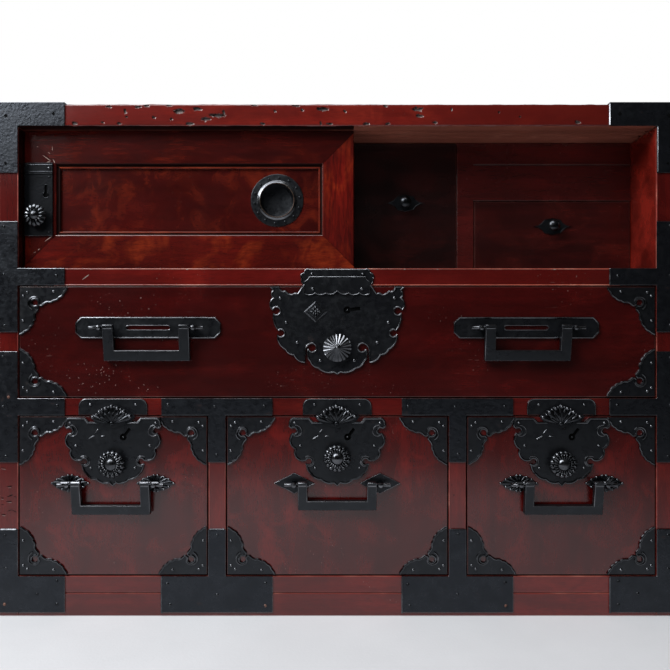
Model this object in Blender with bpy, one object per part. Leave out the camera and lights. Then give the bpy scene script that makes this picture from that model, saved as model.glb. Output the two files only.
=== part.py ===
"""Iron-bound lacquered chest with two sliding doors, four locking drawers and two inner drawers.

Units are metres and +Z is up. The front faces -Y, and the origin lies on the floor under the middle of the
chest with its fittings. Every fixed piece hangs from one empty, and every moving piece from an empty on its
own joint: doors and drawers slide, handles swing on their pins, and each push button raises its lock bolt.
"""

import math
from dataclasses import dataclass

import bmesh
import bpy
from mathutils import Matrix, Vector

MM = 0.001

# Fits
GAP = 0.3 * MM                      # between pieces that lie on each other
SEAM = 1.2 * MM                     # round every drawer front
TRACK_CLEAR = 0.5 * MM              # between a door tongue and its groove
POCKET_CLEAR = 0.5 * MM             # round a lock bolt
BORE_CLEAR = 0.3 * MM               # round a handle pin
SINK = 0.3 * MM                     # how far a fitting is let into the piece it is fixed to

# Carcass
CASE_WIDTH = 880 * MM
CASE_DEPTH = 430 * MM
CASE_HEIGHT = 666 * MM
SIDE_THICK = 25 * MM
TOP_THICK = 29 * MM
DOOR_OPENING = 185 * MM
RAIL_HEIGHT = 22 * MM
RAIL_DEPTH = 70 * MM
SHELF_THICK = 12 * MM
LARGE_OPENING = 147 * MM
MIDDLE_OPENING = 290 * MM
POST_THICK = 22.5 * MM
BOTTOM_THICK = 22 * MM
BASE_HEIGHT = 30 * MM
BASE_RAIL_DEPTH = 25 * MM
BACK_THICK = 12 * MM

# Irons
IRON_THICK = 1.5 * MM
IRON_REACH = 61 * MM                # how far each strap runs past the board end that it binds
IRON_LIFT = 5 * MM                  # the lowest irons stop this far above the floor
KEEPER_THICK = 1.0 * MM
LARGE_KEEPER_WIDTH = 92 * MM
SMALL_KEEPER_WIDTH = 88 * MM
KEEPER_CORNER = 8 * MM
CORNER_LEG = 61 * MM
CORNER_THICK = 1.2 * MM

# Doors
DOOR_SETBACK = 16 * MM
DOOR_THICK = 20 * MM
DOOR_SPACING = 2 * MM
DOOR_OVERLAP = 44 * MM
DOOR_FREE = 1.0 * MM                # seam above, below and beside a door
STILE_WIDTH = 42 * MM
DOOR_RAIL_WIDTH = 45 * MM
TONGUE_THICK = 10 * MM
SILL_GROOVE = 3 * MM
HEAD_GROOVE = 8 * MM
LIFT_OUT = 4 * MM                   # head room that lets a door be lifted out of its sill groove
PANEL_SETBACK = 6 * MM
PANEL_THICK = 6 * MM
PANEL_LAP = 8 * MM
BEAD = 5 * MM                       # width of the moulding round the panel
CUP_INSET = 60 * MM                 # cup pull centre to the inner stile edge
CUP_RADIUS = 35.5 * MM
CUP_MOUTH = 23 * MM
CUP_DEPTH = 9 * MM
CUP_WALL = 1.2 * MM
DOOR_LOCK_WIDTH = 37 * MM
DOOR_LOCK_HEIGHT = 96 * MM
DOOR_LOCK_BAND = 14 * MM
DOOR_LOCK_INSET = 17.5 * MM         # door edge to the button's centre
DOOR_LOCK_BELOW = 26 * MM           # plate's lower edge to the button's centre
DOOR_KEY_BELOW = 54 * MM            # plate's lower edge to the keyhole's centre
DOOR_KEY_INSET = 9 * MM             # plate's inner edge to the keyhole's centre
DOOR_KEY_SLOT = 13.5 * MM           # length of the keyhole's slot from its centre

# Inner drawers
INNER_SETBACK = 78 * MM
DIVIDER_THICK = 24 * MM
TALL_WIDTH = 143.5 * MM
LOW_HEIGHT = 103 * MM
INNER_FRONT_THICK = 15 * MM
FASCIA_THICK = 14 * MM
FASCIA_LINE = 50 * MM               # height of the lower of the two fascia boards
KNOB_RADIUS = 8 * MM
KNOB_FOOT = 4 * MM
KNOB_FACE = 6.4 * MM
KNOB_NECK = 8 * MM                  # length of the neck in front of the drawer
KNOB_BELLY = 11 * MM                # widest place, in front of the drawer
KNOB_SHOULDER = 15 * MM
KNOB_LENGTH = 16 * MM
KNOB_PLATE_WIDTH = 35 * MM

# Drawers
FRONT_THICK = 22 * MM
TRAY_WALL = 11 * MM
TRAY_FLOOR = 8 * MM
TRAY_DROP = 24 * MM                 # the tray's rim lies this far below the top of its front
DRAWER_END = 8 * MM                 # room behind a closed drawer

# Locks
PLATE_THICK = 1.5 * MM
CREST_THICK = 1.5 * MM
LARGE_LOCK_WIDTH = 174 * MM
LARGE_LOCK_DROP = 80 * MM           # drawer's top edge to the button's centre
SMALL_LOCK_WIDTH = 118 * MM
SMALL_LOCK_DROP = 61 * MM
MIDDLE_BUTTON_RISE = 7.5 * MM       # the middle drawer's button sits this much higher on its plate
LARGE_BUTTON_RADIUS = 18.5 * MM
SMALL_BUTTON_RADIUS = 16.5 * MM
DOOR_BUTTON_RADIUS = 14 * MM
LARGE_FLUTES = 18
SMALL_FLUTES = 16
DOOR_FLUTES = 12
BUTTON_HEIGHT = 9 * MM
BUTTON_TRAVEL = 5 * MM
STEM = 8 * MM                       # side of the square button stem
BOLT_WIDTH = 12 * MM
WEDGE_MIDDLE = 6 * MM               # middle of the slanted stem end, behind the wood's face
BOLT_SETBACK = 0.5 * MM
MORTISE_SPARE = 1.5 * MM
KEYHOLE_RADIUS = 4.5 * MM
KEY_SLOT = 3 * MM

# Handles
EYE_STANDOFF = 12 * MM              # handle pin's axis to the drawer's face
EYE_RADIUS = 4.5 * MM
EYE_SIDE = 0.6 * MM                 # between an eye and the handle's arm
POST_RADIUS = 3 * MM
PIN_RADIUS = 2.5 * MM
PIN_PAST_EYE = 8 * MM
BAIL_THICK = 8 * MM
BAIL_HEAD = 4 * MM                  # arm's end above the pin
BAIL_EASE = 0.8 * MM
LARGE_BAIL_WIDTH = 111 * MM
LARGE_BAIL_DROP = 43 * MM
LARGE_BAIL_ARM = 13.5 * MM
LARGE_HANDLE_SHARE = 0.5916         # each handle's middle, from the chest's middle towards the drawer's end
LARGE_HANDLE_DROP = 54 * MM         # drawer's top edge to the pins
HANDLE_PLATE_WIDTH = 187 * MM
HANDLE_PLATE_HEIGHT = 28 * MM
HANDLE_PLATE_CHAMFER = 7.5 * MM
HANDLE_SLOT_WIDTH = 52 * MM
HANDLE_SLOT_HEIGHT = 6 * MM
SMALL_BAIL_WIDTH = 101 * MM
SMALL_BAIL_DROP = 39 * MM
MIDDLE_BAIL_DROP = 33 * MM
SMALL_BAIL_ARM = 12 * MM
SMALL_HANDLE_DROP = 87 * MM
ROSETTE_WIDTH = 52 * MM

# Facets
ARC_STEP = math.radians(30)
EYE_RINGS = 5                       # rings of a handle post's round end
ROUND_SIDES = 40
ROD_SIDES = 12
FLUTE_POINTS = 2
SMOOTH_ANGLE = math.radians(40)
MERGE = 0.01 * MM

# Half outlines in millimetres about the button's centre, from the top middle down the right side to the
# bottom middle. A third value swells the stretch to the next point into an arc: rise over half chord, outwards
# positive.
LARGE_LOCK_EDGE = [
    (0, 77), (43, 77), (51, 69.6), (61.5, 69.6, -0.25), (69.5, 72.5, -0.35), (76, 77), (86, 77, -0.1),
    (82.5, 68.5, 0.42), (84, 50, -2.8), (81.5, 43.5, 0.25), (74, 25, -2.2), (75.8, 17.5, 0.25),
    (67.6, -0.7, 0.15), (56.6, -8.5, 0.2), (42.3, -18.2, 0.6), (40, -15), (40, -2, -4.5), (37, -5, 0.2),
    (36.4, -16.3, 0.25), (24, -25.6, 0.2), (4, -30.8), (0, -33.4),
]
LARGE_LOCK_CREST = [(0, 91), (36, 91, -0.3), (42, 85), (42, 69, -0.4), (30, 69, 0.35), (12, 70, -0.4), (0, 74)]
SMALL_LOCK_EDGE = [
    (0, 52), (32.5, 52, -0.3), (37, 56.5), (58, 57, -0.1), (58, 46, -2.2), (56, 36.5, 0.5),
    (51, 19, 0.5), (40, 3, -3.0), (36.4, -1.3, 0.4), (31, -13, 0.5), (15.6, -19.5, 0.2), (0, -28.6),
]
SMALL_LOCK_CREST = [
    (0, 78.5, 0.3), (5, 76, 0.5), (13, 71.5, 0.5), (21, 67.5, 0.5), (28.6, 63.5, 0.2), (14, 54, -0.2), (0, 48),
]
# Places of the two drawer keyholes and of the ends of their slots, on the same drawings
LARGE_KEY = (13, 49)
LARGE_KEY_END = (30, 51)
SMALL_KEY = (13.5, 34)
SMALL_KEY_END = (22, 45)
# Half outlines of the two kinds of plate under a handle's eye, about the eye: a scalloped leaf and a diamond
LEAF_EDGE = [(0, 13, 0.3), (14.3, 7.8, 0.3), (26, 0, 0.3), (14.3, -7.8, 0.3), (0, -13)]
DIAMOND_EDGE = [(0, 13), (26, 0), (0, -13)]
# Free edge of a corner plate, from one leg's tip to the other, with its heart-shaped notch
CORNER_EDGE = [
    (0, 61, 0.2), (12.5, 49.5, 0.3), (23.2, 32.5, 0.6), (21, 28, -1.3), (17.2, 17.2, -1.3), (28, 21, 0.6),
    (32.5, 23.2, 0.3), (49.5, 12.5, 0.2), (61, 0),
]
# Rings of a fluted button from its back to its top, as shares: radius, height and depth of the flutes
BUTTON_RINGS = [
    (0.94, 0.0, 0.06), (1.0, 0.22, 0.06), (0.9, 0.6, 0.08), (0.6, 0.8, 0.05), (0.44, 0.72, 0.0),
    (0.36, 0.9, 0.0), (0.18, 1.0, 0.0),
]
# Moulding round a door's panel, in shares of its width: distance from the opening's edge, depth behind the
# door's face
BEAD_PROFILE = [(1.0, 0.0), (1.0, 0.4), (0.72, 0.4), (0.72, 0.15), (0.25, 0.15), (0.0, 0.45)]

# Levels and places that follow from the sizes above: the small drawers take the height that is left
DOOR_HIGH = CASE_HEIGHT - TOP_THICK
DOOR_LOW = DOOR_HIGH - DOOR_OPENING
SILL_LOW = DOOR_LOW - RAIL_HEIGHT
LARGE_LOW = SILL_LOW - LARGE_OPENING
MIDDLE_RAIL_LOW = LARGE_LOW - RAIL_HEIGHT
SMALL_LOW = BASE_HEIGHT + BOTTOM_THICK
HALF_WIDTH = CASE_WIDTH / 2
INNER_HALF = HALF_WIDTH - SIDE_THICK
POST_INNER = MIDDLE_OPENING / 2
POST_OUTER = POST_INNER + POST_THICK
POST_MIDDLE = (POST_INNER + POST_OUTER) / 2
BUTTON_REACH = GAP + PLATE_THICK + BUTTON_TRAVEL + GAP + BUTTON_HEIGHT
FRONT_REACH = max(EYE_STANDOFF + EYE_RADIUS, EYE_STANDOFF + BAIL_THICK / 2, BUTTON_REACH)
FRONT = (FRONT_REACH - CASE_DEPTH) / 2
BACK = FRONT + CASE_DEPTH
INNER_BACK = BACK - BACK_THICK
PIN_LINE = FRONT - EYE_STANDOFF
POCKET_DEPTH = WEDGE_MIDDLE + STEM / 2 + BUTTON_TRAVEL + POCKET_CLEAR
MORTISE_DEPTH = BUTTON_TRAVEL + MORTISE_SPARE
DOOR_WIDTH = INNER_HALF + DOOR_OVERLAP / 2 - DOOR_FREE
DOOR_LEFT = DOOR_FREE - INNER_HALF
DOOR_RIGHT = DOOR_LEFT + DOOR_WIDTH
FRONT_DOOR_FACE = FRONT + DOOR_SETBACK
REAR_DOOR_FACE = FRONT_DOOR_FACE + DOOR_THICK + DOOR_SPACING
INNER_FACE = FRONT + INNER_SETBACK
TALL_LEFT = DOOR_RIGHT + 2 * SEAM
TALL_RIGHT = TALL_LEFT + TALL_WIDTH
RIGHT_DIVIDER = TALL_RIGHT + SEAM
LOW_LEFT = RIGHT_DIVIDER + DIVIDER_THICK + SEAM
LOW_RIGHT = INNER_HALF - SEAM
SIDE_DRAWER_MIDDLE = (POST_OUTER + INNER_HALF) / 2


@dataclass
class Finish:
    """Colour and surface of one kind of piece."""

    name: str
    colour: tuple
    roughness: float
    metallic: float

    def material(self):
        """Return the Principled material of this finish, made once."""
        found = bpy.data.materials.get(self.name)
        if found:
            return found
        made = bpy.data.materials.new(self.name)
        made.use_nodes = True
        shader = made.node_tree.nodes["Principled BSDF"]
        shader.inputs["Base Color"].default_value = (*self.colour, 1.0)
        shader.inputs["Roughness"].default_value = self.roughness
        shader.inputs["Metallic"].default_value = self.metallic
        return made


LACQUER = Finish("red_lacquer", (0.16, 0.018, 0.012), 0.28, 0.0)
FIGURED = Finish("figured_lacquer", (0.20, 0.03, 0.015), 0.22, 0.0)
RAW_WOOD = Finish("raw_wood", (0.36, 0.22, 0.12), 0.75, 0.0)
IRON = Finish("black_iron", (0.025, 0.026, 0.029), 0.45, 0.8)
BOLT_IRON = Finish("bolt_iron", (0.12, 0.11, 0.10), 0.5, 0.9)


@dataclass
class Body:
    """One rigid body: an empty that stands on the body's joint, and its place in the chest."""

    empty: object
    place: Vector


@dataclass
class LockShape:
    """Outline and button of one size of drawer lock."""

    edge: list
    crest: list
    width: float
    drop: float
    button_radius: float
    flutes: int
    key_place: tuple
    key_slot_end: tuple
    rise: float = 0.0

    def button_drop(self):
        """Distance from the drawer's top edge to the button's centre."""
        return self.drop - self.rise

    def scale(self):
        """Metres for each millimetre of the drawn outline, so that the plate has its width."""
        return self.width / (2 * max(point[0] for point in both_sides(self.edge)))


# Mesh tools


def clear_scene():
    """Remove every object that the file holds."""
    for item in list(bpy.data.objects):
        bpy.data.objects.remove(item, do_unlink=True)


def solid(bm):
    """Turn a bmesh into an object in the scene, with its faces pointing out."""
    bmesh.ops.recalc_face_normals(bm, faces=bm.faces)
    mesh = bpy.data.meshes.new("solid")
    bm.to_mesh(mesh)
    bm.free()
    item = bpy.data.objects.new("solid", mesh)
    bpy.context.scene.collection.objects.link(item)
    return item


def block(x_span, y_span, z_span):
    """A board that fills three (low, high) spans."""
    spans = (x_span, y_span, z_span)
    bm = bmesh.new()
    bmesh.ops.create_cube(bm, size=1.0)
    bmesh.ops.scale(bm, vec=[high - low for low, high in spans], verts=bm.verts)
    bmesh.ops.translate(bm, vec=[(high + low) / 2 for low, high in spans], verts=bm.verts)
    return solid(bm)


def along(axis, u, v, w):
    """The point that lies w along an axis, with u and v on the other two axes in X, Y, Z order."""
    if axis == "X":
        return Vector((w, u, v))
    if axis == "Y":
        return Vector((u, w, v))
    return Vector((u, v, w))


def prism(outline, axis, span):
    """Extrude a closed outline along an axis between the two ends of a span."""
    low, high = span
    bm = bmesh.new()
    face = bm.faces.new([bm.verts.new(along(axis, u, v, low)) for u, v in outline])
    grown = bmesh.ops.extrude_face_region(bm, geom=[face])["geom"]
    moved = [part for part in grown if isinstance(part, bmesh.types.BMVert)]
    bmesh.ops.translate(bm, verts=moved, vec=along(axis, 0, 0, high - low))
    return solid(bm)


def rod(axis, u, v, span, radius, sides=ROD_SIDES):
    """A round bar along an axis."""
    turn = math.tau / sides
    ring = [(u + radius * math.cos(turn * k), v + radius * math.sin(turn * k)) for k in range(sides)]
    return prism(ring, axis, span)


def turned(profile, x, z, sides=ROUND_SIDES):
    """Spin a (radius, y) profile, which starts and ends on the axis, about the line along Y at x, z."""
    bm = bmesh.new()
    points = [bm.verts.new((x + radius, y, z)) for radius, y in profile]
    edges = [bm.edges.new(pair) for pair in zip(points, points[1:])]
    bmesh.ops.spin(
        bm, geom=points + edges, cent=(x, 0, z), axis=(0, 1, 0), angle=math.tau, steps=sides, use_merge=True
    )
    bmesh.ops.remove_doubles(bm, verts=bm.verts, dist=MERGE)
    return solid(bm)


def open_box(x_span, y_span, z_span, wall, floor):
    """A box with no lid: the top face is inset by the wall and pushed down to the floor."""
    item = block(x_span, y_span, z_span)
    bm = bmesh.new()
    bm.from_mesh(item.data)
    top = max(bm.faces, key=lambda face: face.calc_center_median().z)
    bmesh.ops.inset_individual(bm, faces=[top], thickness=wall)
    sunk = bmesh.ops.extrude_discrete_faces(bm, faces=[top])["faces"][0]
    bmesh.ops.translate(bm, verts=sunk.verts, vec=(0, 0, floor - (z_span[1] - z_span[0])))
    bm.to_mesh(item.data)
    bm.free()
    return item


def folded_sheet(rectangles, thickness):
    """Fold one iron sheet: (axis, side, level, u_span, v_span) rectangles share edges and thicken outwards."""
    bm = bmesh.new()
    for axis, side, level, (u_low, u_high), (v_low, v_high) in rectangles:
        corners = [(u_low, v_low), (u_high, v_low), (u_high, v_high), (u_low, v_high)]
        face = bm.faces.new([bm.verts.new(along(axis, u, v, level)) for u, v in corners])
        face.normal_update()
        if face.normal.dot(along(axis, 0, 0, side)) < 0:
            face.normal_flip()
    bmesh.ops.remove_doubles(bm, verts=bm.verts, dist=MERGE)
    mesh = bpy.data.meshes.new("solid")
    bm.to_mesh(mesh)
    bm.free()
    item = bpy.data.objects.new("solid", mesh)
    bpy.context.scene.collection.objects.link(item)
    thicken = item.modifiers.new("thickness", "SOLIDIFY")
    thicken.thickness = thickness
    thicken.offset = 1.0
    thicken.use_even_offset = True
    return item


def settle(item):
    """Apply an object's modifiers to its mesh."""
    depsgraph = bpy.context.evaluated_depsgraph_get()
    mesh = bpy.data.meshes.new_from_object(item.evaluated_get(depsgraph))
    item.modifiers.clear()
    item.data = mesh
    return item


def combine(operation, base, others):
    """Run one exact Boolean between a solid and each of the others, which are used up."""
    for other in others:
        modifier = base.modifiers.new("combine", "BOOLEAN")
        modifier.operation = operation
        modifier.solver = "EXACT"
        modifier.object = other
    settle(base)
    for other in others:
        bpy.data.objects.remove(other, do_unlink=True)
    return base


def union(base, *others):
    """Weld solids into the first one."""
    return combine("UNION", base, others)


def cut(base, *cutters):
    """Take solids away from the first one."""
    return combine("DIFFERENCE", base, cutters)


def ease_edges(item, width):
    """Take the sharp edge off a forged bar."""
    bevel = item.modifiers.new("ease", "BEVEL")
    bevel.width = width
    bevel.segments = 1
    bevel.limit_method = "ANGLE"
    return settle(item)


def move(item, matrix):
    """Carry a solid's mesh to its place."""
    item.data.transform(matrix)
    return item


# Outlines


def arc_points(start, end, swell):
    """Points between the ends of an arc whose rise is swell times half its chord, to the left of its way."""
    chord = end - start
    half = chord.length / 2
    left = Vector((-chord.y, chord.x)).normalized()
    radius = half * (1 + swell * swell) / (2 * abs(swell))
    rise = abs(swell) * half
    centre = (start + end) / 2 - left * math.copysign(1, swell) * (radius - rise)
    sweep = -4 * math.atan(swell)
    count = max(2, math.ceil(abs(sweep) / ARC_STEP))
    spoke = start - centre
    return [centre + Matrix.Rotation(sweep * k / count, 2) @ spoke for k in range(1, count)]


def curve(points):
    """Expand corner points, with their swells, into an open run of (u, v) points."""
    run = []
    for here, there in zip(points, points[1:]):
        start = Vector(here[:2])
        end = Vector(there[:2])
        run.append(start)
        if len(here) > 2:
            run.extend(arc_points(start, end, here[2]))
    run.append(Vector(points[-1][:2]))
    return [(point.x, point.y) for point in run]


def both_sides(half):
    """Complete an outline from its right half, which runs down from the middle line and back to it."""
    right = curve(half)
    return right + [(-u, v) for u, v in reversed(right[1:-1])]


def placed(outline, scale, u, v):
    """Scale an outline and set its origin at u, v."""
    return [(u + scale * a, v + scale * b) for a, b in outline]


def chamfered(half_width, low, high, chamfer):
    """A plate outline whose two upper corners are cut off."""
    return [
        (-half_width, low), (half_width, low), (half_width, high - chamfer), (half_width - chamfer, high),
        (chamfer - half_width, high), (-half_width, high - chamfer),
    ]


# Bodies and naming


def body(name, place=(0, 0, 0), parent=None):
    """Stand an empty on a joint, under its parent body."""
    empty = bpy.data.objects.new(name, None)
    bpy.context.scene.collection.objects.link(empty)
    place = Vector(place)
    empty.location = place
    if parent:
        empty.parent = parent.empty
        empty.location = place - parent.place
    return Body(empty, place)


def finish(item, name, look, owner, smooth=False):
    """Name a finished piece, give it its material and hang it from its body."""
    item.name = name
    item.data.name = name
    item.data.materials.clear()
    item.data.materials.append(look.material())
    item.data.transform(Matrix.Translation(-owner.place))
    item.parent = owner.empty
    if smooth:
        item.data.shade_smooth()
        item.data.set_sharp_from_angle(angle=SMOOTH_ANGLE)
    return item


# Carcass


def bolt_room(face):
    """Depth span that a lock bolt needs behind the face of the wood that carries it."""
    half = STEM / 2 + POCKET_CLEAR
    return face + WEDGE_MIDDLE - half, face + WEDGE_MIDDLE + half


def rail_slot(x, z):
    """Cutter for the slot that a drawer's bolt rises into, from the rail's underside at z."""
    half = BOLT_WIDTH / 2 + POCKET_CLEAR
    return block((x - half, x + half), bolt_room(FRONT), (z - GAP, z + MORTISE_DEPTH))


def side_slot():
    """Cutter for the slot in the left side board that the door's bolt enters."""
    half = BOLT_WIDTH / 2 + POCKET_CLEAR
    z = door_lock_place().z
    x_span = (-INNER_HALF - MORTISE_DEPTH, GAP - INNER_HALF)
    return block(x_span, bolt_room(FRONT_DOOR_FACE), (z - half, z + half))


def door_grooves(low, high):
    """Cutters for the two door grooves, between the side boards."""
    half = TONGUE_THICK / 2 + TRACK_CLEAR
    middles = [face + DOOR_THICK / 2 for face in (FRONT_DOOR_FACE, REAR_DOOR_FACE)]
    return [block((-INNER_HALF, INNER_HALF), (y - half, y + half), (low, high)) for y in middles]


def shelf_profile(low, high):
    """Side view of a shelf: a deep front rail and a thinner board behind it, level on top."""
    rail_back = FRONT + RAIL_DEPTH
    end = INNER_BACK - GAP
    return [
        (FRONT, low), (rail_back, low), (rail_back, high - SHELF_THICK), (end, high - SHELF_THICK), (end, high),
        (FRONT, high),
    ]


def keeper(x, width, low, high):
    """Plate on a rail behind a lock's crest, let into the rail's face."""
    outline = chamfered(width / 2, low + GAP, high - GAP, KEEPER_CORNER)
    return prism(placed(outline, 1, x, 0), "Y", (FRONT - KEEPER_THICK, FRONT + SINK))


def drawer_middles():
    """Names and middles of the three small drawers."""
    return {"left": -SIDE_DRAWER_MIDDLE, "middle": 0.0, "right": SIDE_DRAWER_MIDDLE}


def build_carcass(case):
    """Boards of the case, with their grooves, slots and keeper plates."""
    inner = (GAP - INNER_HALF, INNER_HALF - GAP)
    full_depth = (FRONT, BACK)
    shelf_depth = (FRONT, INNER_BACK - GAP)
    top = block((-HALF_WIDTH, HALF_WIDTH), full_depth, (DOOR_HIGH, CASE_HEIGHT))
    cut(top, *door_grooves(DOOR_HIGH - GAP, DOOR_HIGH + HEAD_GROOVE))
    finish(top, "top_board", LACQUER, case)

    for name, side in (("left", -1), ("right", 1)):
        x_span = sorted((side * INNER_HALF, side * HALF_WIDTH))
        board = block(x_span, full_depth, (0, DOOR_HIGH - GAP))
        if side < 0:
            cut(board, side_slot())
        finish(board, f"{name}_side_board", LACQUER, case)

    back = block(inner, (INNER_BACK, BACK), (BASE_HEIGHT, DOOR_HIGH - GAP))
    finish(back, "back_panel", RAW_WOOD, case)
    bottom = block(inner, shelf_depth, (BASE_HEIGHT, SMALL_LOW))
    finish(bottom, "bottom_board", LACQUER, case)
    base = block(inner, (FRONT, FRONT + BASE_RAIL_DEPTH), (0, BASE_HEIGHT - GAP))
    finish(base, "base_rail", LACQUER, case)

    sill = prism(shelf_profile(SILL_LOW, DOOR_LOW), "X", inner)
    cut(sill, *door_grooves(DOOR_LOW - SILL_GROOVE, DOOR_LOW + GAP), rail_slot(0, SILL_LOW))
    union(sill, keeper(0, LARGE_KEEPER_WIDTH, SILL_LOW, DOOR_LOW))
    finish(sill, "door_sill_shelf", LACQUER, case)

    middle = prism(shelf_profile(MIDDLE_RAIL_LOW, LARGE_LOW), "X", inner)
    cut(middle, *[rail_slot(x, MIDDLE_RAIL_LOW) for x in drawer_middles().values()])
    for x in drawer_middles().values():
        plate = keeper(x, SMALL_KEEPER_WIDTH, MIDDLE_RAIL_LOW, LARGE_LOW)
        cut(plate, *rail_strap_spaces())
        union(middle, plate)
    finish(middle, "middle_shelf", LACQUER, case)

    for name, side in (("left", -1), ("right", 1)):
        x_span = sorted((side * POST_INNER, side * POST_OUTER))
        board = block(x_span, shelf_depth, (SMALL_LOW + GAP, MIDDLE_RAIL_LOW - GAP))
        finish(board, f"{name}_partition", LACQUER, case)

    build_inner_carcass(case)


def build_inner_carcass(case):
    """Two dividers under one roof, and the fixed fascia over the low drawer."""
    low = DOOR_LOW + GAP
    high = DOOR_HIGH - GAP
    left = TALL_LEFT - SEAM - DIVIDER_THICK
    right = RIGHT_DIVIDER + DIVIDER_THICK
    roof = high - SHELF_THICK
    outline = [
        (left, low), (left + DIVIDER_THICK, low), (left + DIVIDER_THICK, roof), (RIGHT_DIVIDER, roof),
        (RIGHT_DIVIDER, low), (right, low), (right, high), (left, high),
    ]
    carcass = prism(outline, "Y", (INNER_FACE + INNER_FRONT_THICK, INNER_BACK - GAP))
    lip = block((RIGHT_DIVIDER, right), (INNER_FACE, INNER_FACE + INNER_FRONT_THICK + SINK), (low, high))
    fascia_low = DOOR_LOW + LOW_HEIGHT
    fascia_x = (right - SINK, INNER_HALF - GAP)
    fascia = block(fascia_x, (INNER_FACE, INNER_FACE + FASCIA_THICK), (fascia_low, high))
    line = fascia_low + FASCIA_LINE
    groove = block((right, INNER_HALF), (INNER_FACE - SEAM, INNER_FACE + SEAM), (line, line + SEAM))
    union(carcass, lip, cut(fascia, groove))
    finish(carcass, "inner_carcass", LACQUER, case)


# Irons


def strap_levels():
    """Name, arm levels and leg levels of the corner irons below the top one."""
    return [
        ("sill", (SILL_LOW, DOOR_LOW), (SILL_LOW - IRON_REACH, DOOR_LOW + IRON_REACH)),
        ("rail", (MIDDLE_RAIL_LOW, LARGE_LOW), (MIDDLE_RAIL_LOW - IRON_REACH, LARGE_LOW + IRON_REACH)),
        ("base", (IRON_LIFT, SMALL_LOW), (IRON_LIFT, SMALL_LOW + IRON_REACH)),
    ]


def rail_strap_spaces():
    """Cutters that keep a keeper plate clear of the irons on the same rail."""
    levels = (MIDDLE_RAIL_LOW - GAP, LARGE_LOW + GAP)
    depth = (FRONT - IRON_THICK, FRONT)
    ends = INNER_HALF - IRON_REACH - SEAM
    half = POST_THICK / 2 + IRON_REACH + SEAM
    spaces = [(-HALF_WIDTH, -ends), (ends, HALF_WIDTH)]
    spaces += [(x - half, x + half) for x in (-POST_MIDDLE, POST_MIDDLE)]
    return [block(span, depth, levels) for span in spaces]


def corner_strap(side, arm, legs):
    """Iron folded round a front corner, with a leg and an arm on the front and the same on the side."""
    edge_x = side * (HALF_WIDTH + GAP)
    edge_y = FRONT - GAP
    leg_x = sorted((edge_x, side * INNER_HALF))
    arm_x = sorted((side * INNER_HALF, side * (INNER_HALF - IRON_REACH)))
    leg_y = (edge_y, FRONT + SIDE_THICK)
    arm_y = (FRONT + SIDE_THICK, FRONT + SIDE_THICK + IRON_REACH)
    stops = [legs[0]] + [level for level in arm if legs[0] < level < legs[1]] + [legs[1]]
    rectangles = []
    for z_span in zip(stops, stops[1:]):
        rectangles.append(("Y", -1, edge_y, leg_x, z_span))
        rectangles.append(("X", side, edge_x, leg_y, z_span))
    rectangles.append(("Y", -1, edge_y, arm_x, arm))
    rectangles.append(("X", side, edge_x, arm_y, arm))
    return rectangles


def top_strap(side):
    """Iron over a top corner, folded onto the front, the side and the top."""
    edge_x = side * (HALF_WIDTH + GAP)
    edge_z = CASE_HEIGHT + GAP
    arm = (DOOR_HIGH, edge_z)
    rectangles = corner_strap(side, arm, (DOOR_HIGH - IRON_REACH, edge_z))
    leg_x = sorted((edge_x, side * INNER_HALF))
    arm_x = sorted((side * INNER_HALF, side * (INNER_HALF - IRON_REACH)))
    leg_y = (FRONT - GAP, FRONT + SIDE_THICK)
    arm_y = (FRONT + SIDE_THICK, FRONT + SIDE_THICK + IRON_REACH)
    rectangles.append(("Z", 1, edge_z, leg_x, leg_y))
    rectangles.append(("Z", 1, edge_z, arm_x, leg_y))
    rectangles.append(("Z", 1, edge_z, leg_x, arm_y))
    return rectangles


def post_iron(x, arm, tip):
    """Flat T iron: an arm across a rail and a stem along a post, to the level of its tip."""
    half = POST_THICK / 2
    wide = half + IRON_REACH
    low, high = arm
    far, near = (high, low) if tip < low else (low, high)
    outline = [
        (-wide, near), (-wide, far), (wide, far), (wide, near), (half, near), (half, tip), (-half, tip),
        (-half, near),
    ]
    return prism(placed(outline, 1, x, 0), "Y", (FRONT - GAP - IRON_THICK, FRONT - GAP))


def build_irons(case):
    """Corner irons on both sides and T irons on both posts."""
    for name, side in (("left", -1), ("right", 1)):
        finish(settle(folded_sheet(top_strap(side), IRON_THICK)), f"iron_top_{name}", IRON, case)
        for level, arm, legs in strap_levels():
            strap = folded_sheet(corner_strap(side, arm, legs), IRON_THICK)
            finish(settle(strap), f"iron_{level}_{name}", IRON, case)
        x = side * POST_MIDDLE
        head = post_iron(x, (MIDDLE_RAIL_LOW, LARGE_LOW), MIDDLE_RAIL_LOW - IRON_REACH)
        finish(head, f"iron_post_top_{name}", IRON, case)
        foot = post_iron(x, (IRON_LIFT, SMALL_LOW), SMALL_LOW + IRON_REACH)
        finish(foot, f"iron_post_foot_{name}", IRON, case)


# Locks


def large_lock():
    """Lock of the wide drawer."""
    return LockShape(
        LARGE_LOCK_EDGE, LARGE_LOCK_CREST, LARGE_LOCK_WIDTH, LARGE_LOCK_DROP, LARGE_BUTTON_RADIUS,
        LARGE_FLUTES, LARGE_KEY, LARGE_KEY_END,
    )


def small_lock(rise):
    """Lock of the three small drawers, with its button raised on the plate."""
    return LockShape(
        SMALL_LOCK_EDGE, SMALL_LOCK_CREST, SMALL_LOCK_WIDTH, SMALL_LOCK_DROP, SMALL_BUTTON_RADIUS,
        SMALL_FLUTES, SMALL_KEY, SMALL_KEY_END, rise,
    )


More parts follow.
